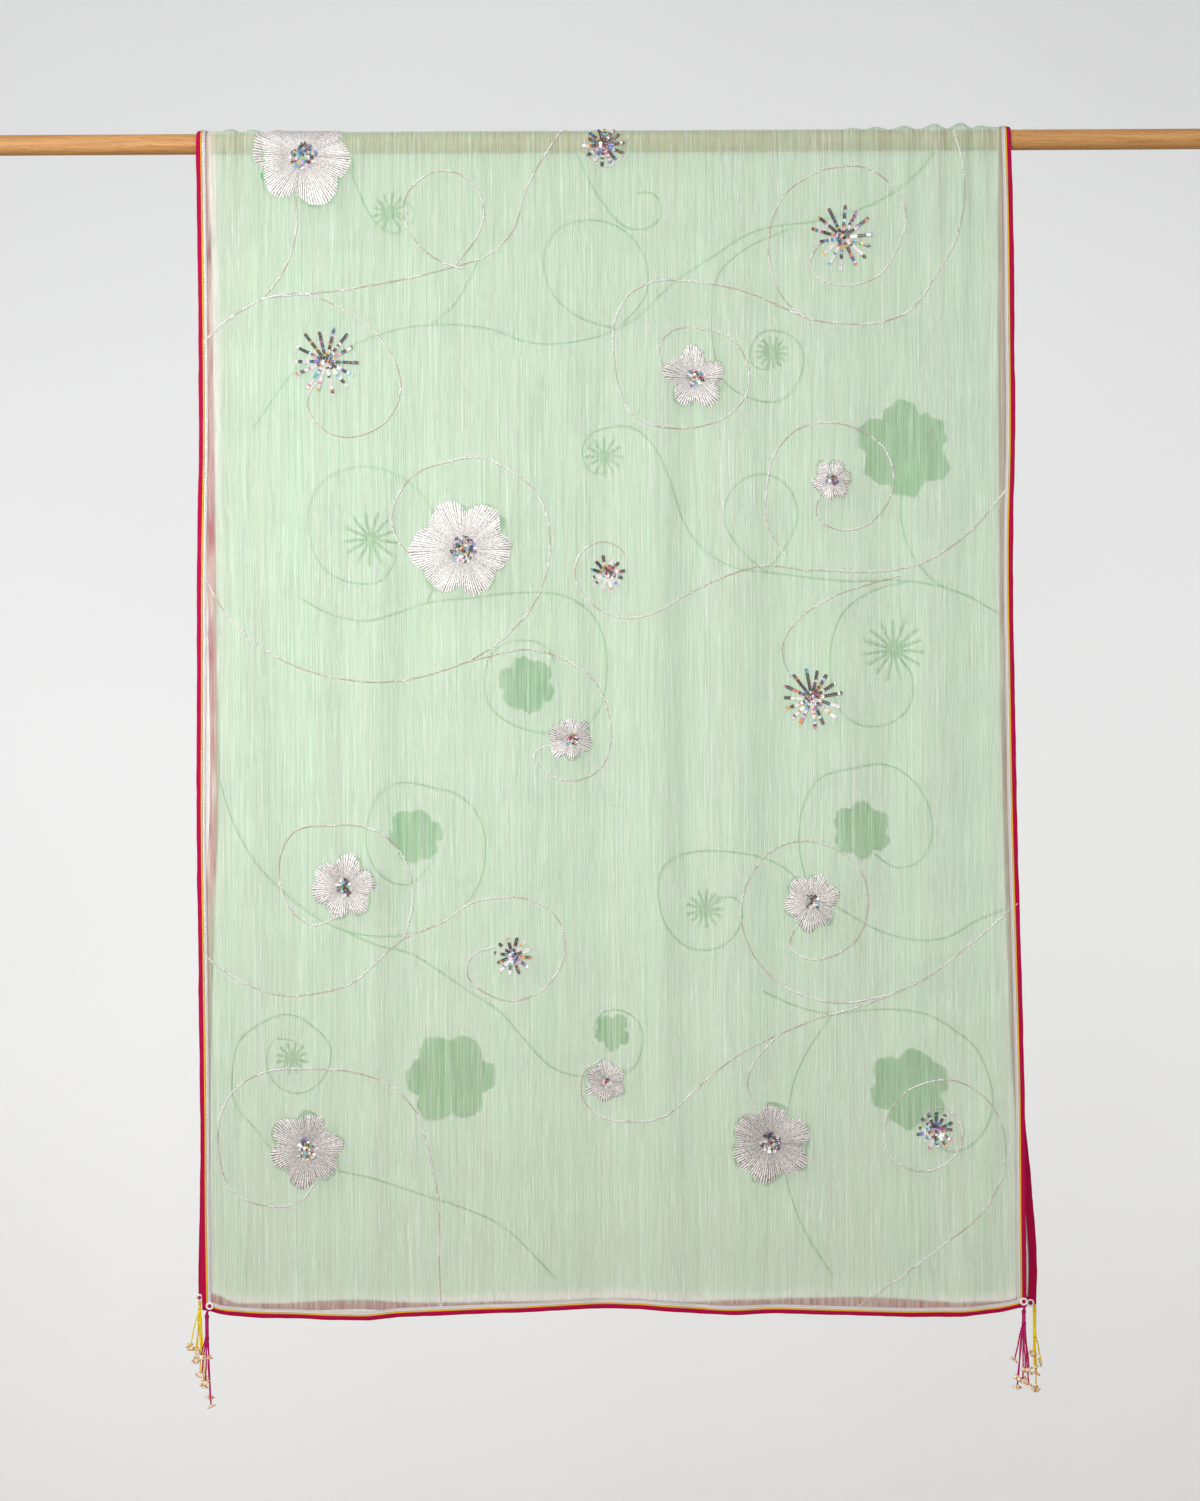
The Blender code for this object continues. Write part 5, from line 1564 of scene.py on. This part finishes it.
class STOLE_OT_rings(bpy.types.Operator):
    """Make the pearly corner rings with a knot sewn through each"""
    bl_idname = "stole.rings"
    bl_label = "Corner rings"

    def execute(self, context):
        settings = context.scene.stole_tassels
        shell = shell_material(settings)
        crimson = thread_material("ring_knot_crimson", settings.magenta_colour, settings.magenta_groove_shade,
                                  500.0, 2.0)
        for corner in CORNERS:
            middle = ring_middle(corner)
            turn = np.linspace(0, 2 * math.pi, RING_STEPS + 1)[:, None]
            wire = round_angles(RING_SIDES)
            knob = RING_WIRE * (1 + RING_KNOB * np.cos(RING_KNOBS * turn))
            reach = RING_RADIUS + knob * np.cos(wire)
            points = stack(reach * np.cos(turn), knob * np.sin(wire), reach * np.sin(turn))
            shape = Shape()
            shape.add(points + middle, grid_faces(RING_STEPS + 1, RING_SIDES, closed=True)[:, ::-1])
            shape.piece(corner_name("shell_ring", corner), "shell_ring", shell, [corner_name("ring", corner)])
            knot = Shape()
            angle = np.linspace(0, 2 * math.pi, 60)
            radius = 1.15 + 0.25 * np.cos(5 * angle)
            path = stack(radius * np.cos(2 * angle), 0.35 * np.sin(5 * angle), radius * np.sin(2 * angle))
            add_tube(knot, path + middle, 0.5, THREAD_SIDES)
            points, faces = ball(7, 10)
            knot.add(points * (1.3, 0.7, 1.3) + middle, faces)
            knot.piece(corner_name("ring_knot", corner), "magenta_thread", crimson)
        return {"FINISHED"}


def cup_grid():
    """A shallow six-petalled cup, open downwards, in two skins, with the share of the way to the rim."""
    angle = round_angles(CUP_STEPS)
    share = np.array([0.12, 0.45, 0.75, 1.0, 0.98, 0.72, 0.42, 0.10])[:, None]
    skin = np.array([0, 0, 0, 0, 1, 1, 1, 1])[:, None]
    petal = np.cos(6 * angle) * share ** 2
    height = 0.9 - CUP_HEIGHT * share ** 1.5 + 0.7 * petal - CUP_SKIN * skin
    radius = CUP_RADIUS * share * (0.86 + 0.17 * petal)
    return stack(radius * np.cos(angle), radius * np.sin(angle), height), stack(share, angle / 6)


def strand_path(corner, cup, number, random):
    """A strand from the corner to its cup: it winds in the bound stalk, then hangs free in one bend."""
    down = corner.stalk_length * np.linspace(0, 1, 26) - THREAD_ROOT * np.linspace(0, 1, 26) ** 4
    turn = 2 * math.pi * (number / len(corner.cups) + down / PLY_TURN)
    wind = (corner.stalk_radius - corner.thread_radius) * smoothstep(down / 4 + 0.3)
    wind = wind * smoothstep((corner.stalk_length - down) / 6 + 0.35)
    stalk = stack(wind * np.cos(turn), wind * np.sin(turn), -down)
    start = stalk[-1]
    end = np.array([cup.x, -cup.out * corner.fall.side, -cup.drop])
    bend = np.array([end[0] * THREAD_BEND_SPREAD, end[1] * THREAD_BEND_SPREAD,
                     start[2] + (end[2] - start[2]) * THREAD_BEND_DROP])
    t = np.linspace(0, 1, 20)[1:, None]
    free = bent(start, bend, end, t)
    sway = np.sin(t * math.pi * random.uniform(1.5, 3)) * np.sin(t * math.pi) * random.uniform(-0.7, 0.7)
    free[:, 0] += sway[:, 0]
    return np.concatenate([stalk, free])


class STOLE_OT_tassels(bpy.types.Operator):
    """Make the four corner tassels with their strands, flower-shaped cups and end knots"""
    bl_idname = "stole.tassels"
    bl_label = "Tassels"

    def execute(self, context):
        settings = context.scene.stole_tassels
        magenta = thread_material("magenta_strand", settings.magenta_colour, settings.magenta_groove_shade,
                                  330.0, 1.0)
        gold = thread_material("yellow_strand", settings.gold_colour, settings.gold_groove_shade, 330.0, 1.0)
        golden = cup_material(settings)
        for number, corner in enumerate(CORNERS):
            random = np.random.default_rng(300 + number)
            x, face_out, _ = corner_place(corner)
            x -= corner.side * corner.tassel_inset
            reaches = x + np.linspace(-3, 3, 13) * corner.stalk_radius
            hem = read(corner.fall.hem, reaches, "x", "drop").max()
            top = np.array([x, corner.fall.side * (face_out - BORDER_DEPTH / 2), -hem - GAP])
            strands, cups = Shape(), Shape()
            slot, thread, fullness = "gold_thread", gold, BACK_FULLNESS
            if corner.fall is FRONT:
                slot, thread, fullness = "magenta_thread", magenta, FRONT_FULLNESS
            for index, cup in enumerate(corner.cups):
                path = strand_path(corner, cup, index, random)
                add_tube(strands, path + top, fullness * corner.thread_radius, THREAD_SIDES)
                facing = Matrix.Rotation(math.radians(random.uniform(-15, 50)), 3, "X")
                tilt = np.array(facing @ Matrix.Rotation(math.radians(cup.tilt), 3, "Y"))
                crown = path[-1] + top
                points, uv = cup_grid()
                cups.add(points @ tilt.T + crown, grid_faces(8, CUP_STEPS, closed=True)[:, ::-1], uv)
                sphere, faces = ball(7, 9)
                under = crown + tilt @ np.array([0, 0, -CUP_HEIGHT * 0.6])
                strands.add(sphere * KNOT_RADIUS + under, faces)
            add_lead(strands, ring_middle(corner), top)
            for height in (0.12 * corner.stalk_length, corner.stalk_length - 2.0):
                band = np.linspace(0, 2 * math.pi * WRAP_TURNS, 48)
                reach = corner.stalk_radius * 0.95
                wrap = stack(reach * np.cos(band), reach * np.sin(band), -height - band / 9)
                add_tube(strands, wrap + top, WRAP_RADIUS, WRAP_SIDES)
            strands.piece(corner_name("strands", corner), slot, thread, [corner_name("tassel", corner)])
            cups.piece(corner_name("cups", corner), "gold_thread", golden)
        return {"FINISHED"}


class STOLE_OT_rod(bpy.types.Operator):
    """Make the round wooden rod"""
    bl_idname = "stole.rod"
    bl_label = "Rod"

    def execute(self, context):
        low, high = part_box("wooden_rod")
        half, radius = high.x / MM, high.z / MM
        chamfer = 1.0
        tip = np.array([half, half, half - 0.4 * chamfer])
        x = np.concatenate([-tip, np.linspace(-half + chamfer, half - chamfer, 80), tip[::-1]])
        reach = np.full(len(x), radius)
        reach[:3] = (0.001, radius - chamfer, radius - chamfer * 0.3)
        reach[-3:] = (radius - chamfer * 0.3, radius - chamfer, 0.001)
        angle = round_angles(96)
        wear = 0.05 * noise(x[:, None] / 60, 3 * angle / math.pi, 41) * (reach[:, None] > radius - 0.01)
        ring = reach[:, None] - np.abs(wear)
        points = stack(x[:, None], ring * np.cos(angle), ring * np.sin(angle))
        shape = Shape()
        shape.add(points, grid_faces(len(x), 96, closed=True)[:, ::-1])
        shape.piece("rod", "rod_wood", wood_material(context.scene.stole_rod), ["wooden_rod"], sharp=30)
        return {"FINISHED"}


# ---------------------------------------------------------------------------------------------------
# Stage
# ---------------------------------------------------------------------------------------------------

def stage_plane(name, near, far, material):
    """A flat stage piece between two level edges, each given by its y and z in metres."""
    corners = [(-STAGE_SIDE, *near), (STAGE_SIDE, *near), (STAGE_SIDE, *far), (-STAGE_SIDE, *far)]
    mesh = bpy.data.meshes.new(name)
    mesh.from_pydata(corners, [], [(0, 1, 2, 3)])
    mesh.materials.append(material)
    add_object(name, mesh)


def plaster_material(name, colour, variation):
    """Pale painted plaster with large soft changes and small trowel marks."""
    material, tree = new_material(name, 0.9)
    place = object_place(tree)
    low = tuple(channel * (1 - variation) for channel in colour)
    share = spread(tree, noise_texture(tree, place, 0.55, 1.0), 0.3, 0.7)
    return dress(material, Base_Color=blend(tree, share, low, colour),
                 Normal=bump(tree, noise_texture(tree, place, 5.0, 4.0), 0.01, 0.3))


def add_area_light(name, place, target, size, power, colour=(1.0, 1.0, 1.0)):
    """A soft square light that faces a target."""
    light = bpy.data.lights.new(name, "AREA")
    light.shape, light.size, light.energy, light.color = "SQUARE", size, power, colour
    holder = add_object(name, light)
    holder.location = place
    aim = Vector(target) - Vector(place)
    holder.rotation_euler = aim.to_track_quat("-Z", "Y").to_euler()
    return light


class STOLE_OT_stage(bpy.types.Operator):
    """Set the pale wall and floor, the soft lights and the camera"""
    bl_idname = "stole.stage"
    bl_label = "Stage, lights and camera"

    def execute(self, context):
        settings = context.scene.stole_stage
        wall = plaster_material("pale_wall", settings.wall_colour, 0.06)
        floor = plaster_material("pale_floor", settings.floor_colour, 0.03)
        stage_plane("wall", (STAGE_BACK, STAGE_FLOOR), (STAGE_BACK, STAGE_TOP), wall)
        stage_plane("floor", (STAGE_FRONT, STAGE_FLOOR), (STAGE_BACK, STAGE_FLOOR), floor)
        world = bpy.data.worlds.new("even_studio")
        world.use_nodes = True
        background = world.node_tree.nodes["Background"]
        background.inputs["Color"].default_value = (0.96, 0.98, 1.0, 1.0)
        background.inputs["Strength"].default_value = settings.sky_strength
        context.scene.world = world
        key = add_area_light("key_light", (-2.1, -2.4, 0.1), (-0.45, 0.0, -0.40), 0.5,
                             settings.key_power)
        key.spread = KEY_SPREAD
        add_area_light("fill_light", (-0.8, -3.8, 0.3), (0.0, 0.0, -0.6), 2.2, settings.fill_power,
                       (1.0, 0.99, 0.96))
        add_area_light("wall_light_left", (-3.0, 1.6, -0.6), (0.4, 6.5, -0.9), 2.0, settings.wall_power)
        add_area_light("wall_light_right", (3.2, 1.6, -0.8), (-0.1, 6.5, -1.2), 2.0,
                       0.8 * settings.wall_power)
        camera = bpy.data.cameras.new("camera")
        camera.lens, camera.sensor_width = CAMERA_LENS, 36.0
        holder = add_object("camera", camera)
        right = Vector((math.cos(CAMERA_ROLL), 0, -math.sin(CAMERA_ROLL)))
        up = Vector((math.sin(CAMERA_ROLL), 0, math.cos(CAMERA_ROLL)))
        turn = Matrix((right, up, Vector((0, -1, 0)))).transposed()
        holder.matrix_world = Matrix.Translation(CAMERA_PLACE) @ turn.to_4x4()
        context.scene.camera = holder
        context.scene.view_settings.view_transform = "Standard"
        return {"FINISHED"}


class STOLE_PT_panel(bpy.types.Panel):
    """The stole's settings and the buttons that build its pieces"""
    bl_idname = "STOLE_PT_panel"
    bl_label = "Dupatta stole"
    bl_space_type = "VIEW_3D"
    bl_region_type = "UI"
    bl_category = "Stole"

    def draw(self, context):
        for name in SETTINGS:
            group_settings = getattr(context.scene, name)
            box = self.layout.box()
            for label in group_settings.__annotations__:
                box.prop(group_settings, label)
        for operator in OPERATORS:
            self.layout.operator(operator.bl_idname)


SETTINGS = {
    "stole_cloth": StoleClothSettings,
    "stole_trims": StoleTrimSettings,
    "stole_motifs": StoleMotifSettings,
    "stole_tassels": StoleTasselSettings,
    "stole_rod": StoleRodSettings,
    "stole_stage": StoleStageSettings,
}
OPERATORS = [STOLE_OT_stage, STOLE_OT_rod, STOLE_OT_cloth, STOLE_OT_trims, STOLE_OT_motifs,
             STOLE_OT_vines, STOLE_OT_rings, STOLE_OT_tassels]


def register():
    for name, settings in SETTINGS.items():
        bpy.utils.register_class(settings)
        setattr(bpy.types.Scene, name, bpy.props.PointerProperty(type=settings))
    for made in (*OPERATORS, STOLE_PT_panel):
        bpy.utils.register_class(made)


def unregister():
    for made in reversed((*OPERATORS, STOLE_PT_panel)):
        bpy.utils.unregister_class(made)
    for name, settings in SETTINGS.items():
        delattr(bpy.types.Scene, name)
        bpy.utils.unregister_class(settings)


def main():
    """Registers the add-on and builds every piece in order."""
    register()
    build_groups()
    bpy.ops.stole.stage()
    bpy.ops.stole.rod()
    bpy.ops.stole.cloth()
    bpy.ops.stole.trims()
    bpy.ops.stole.motifs()
    bpy.ops.stole.vines()
    bpy.ops.stole.rings()
    bpy.ops.stole.tassels()


if __name__ == "__main__":
    main()
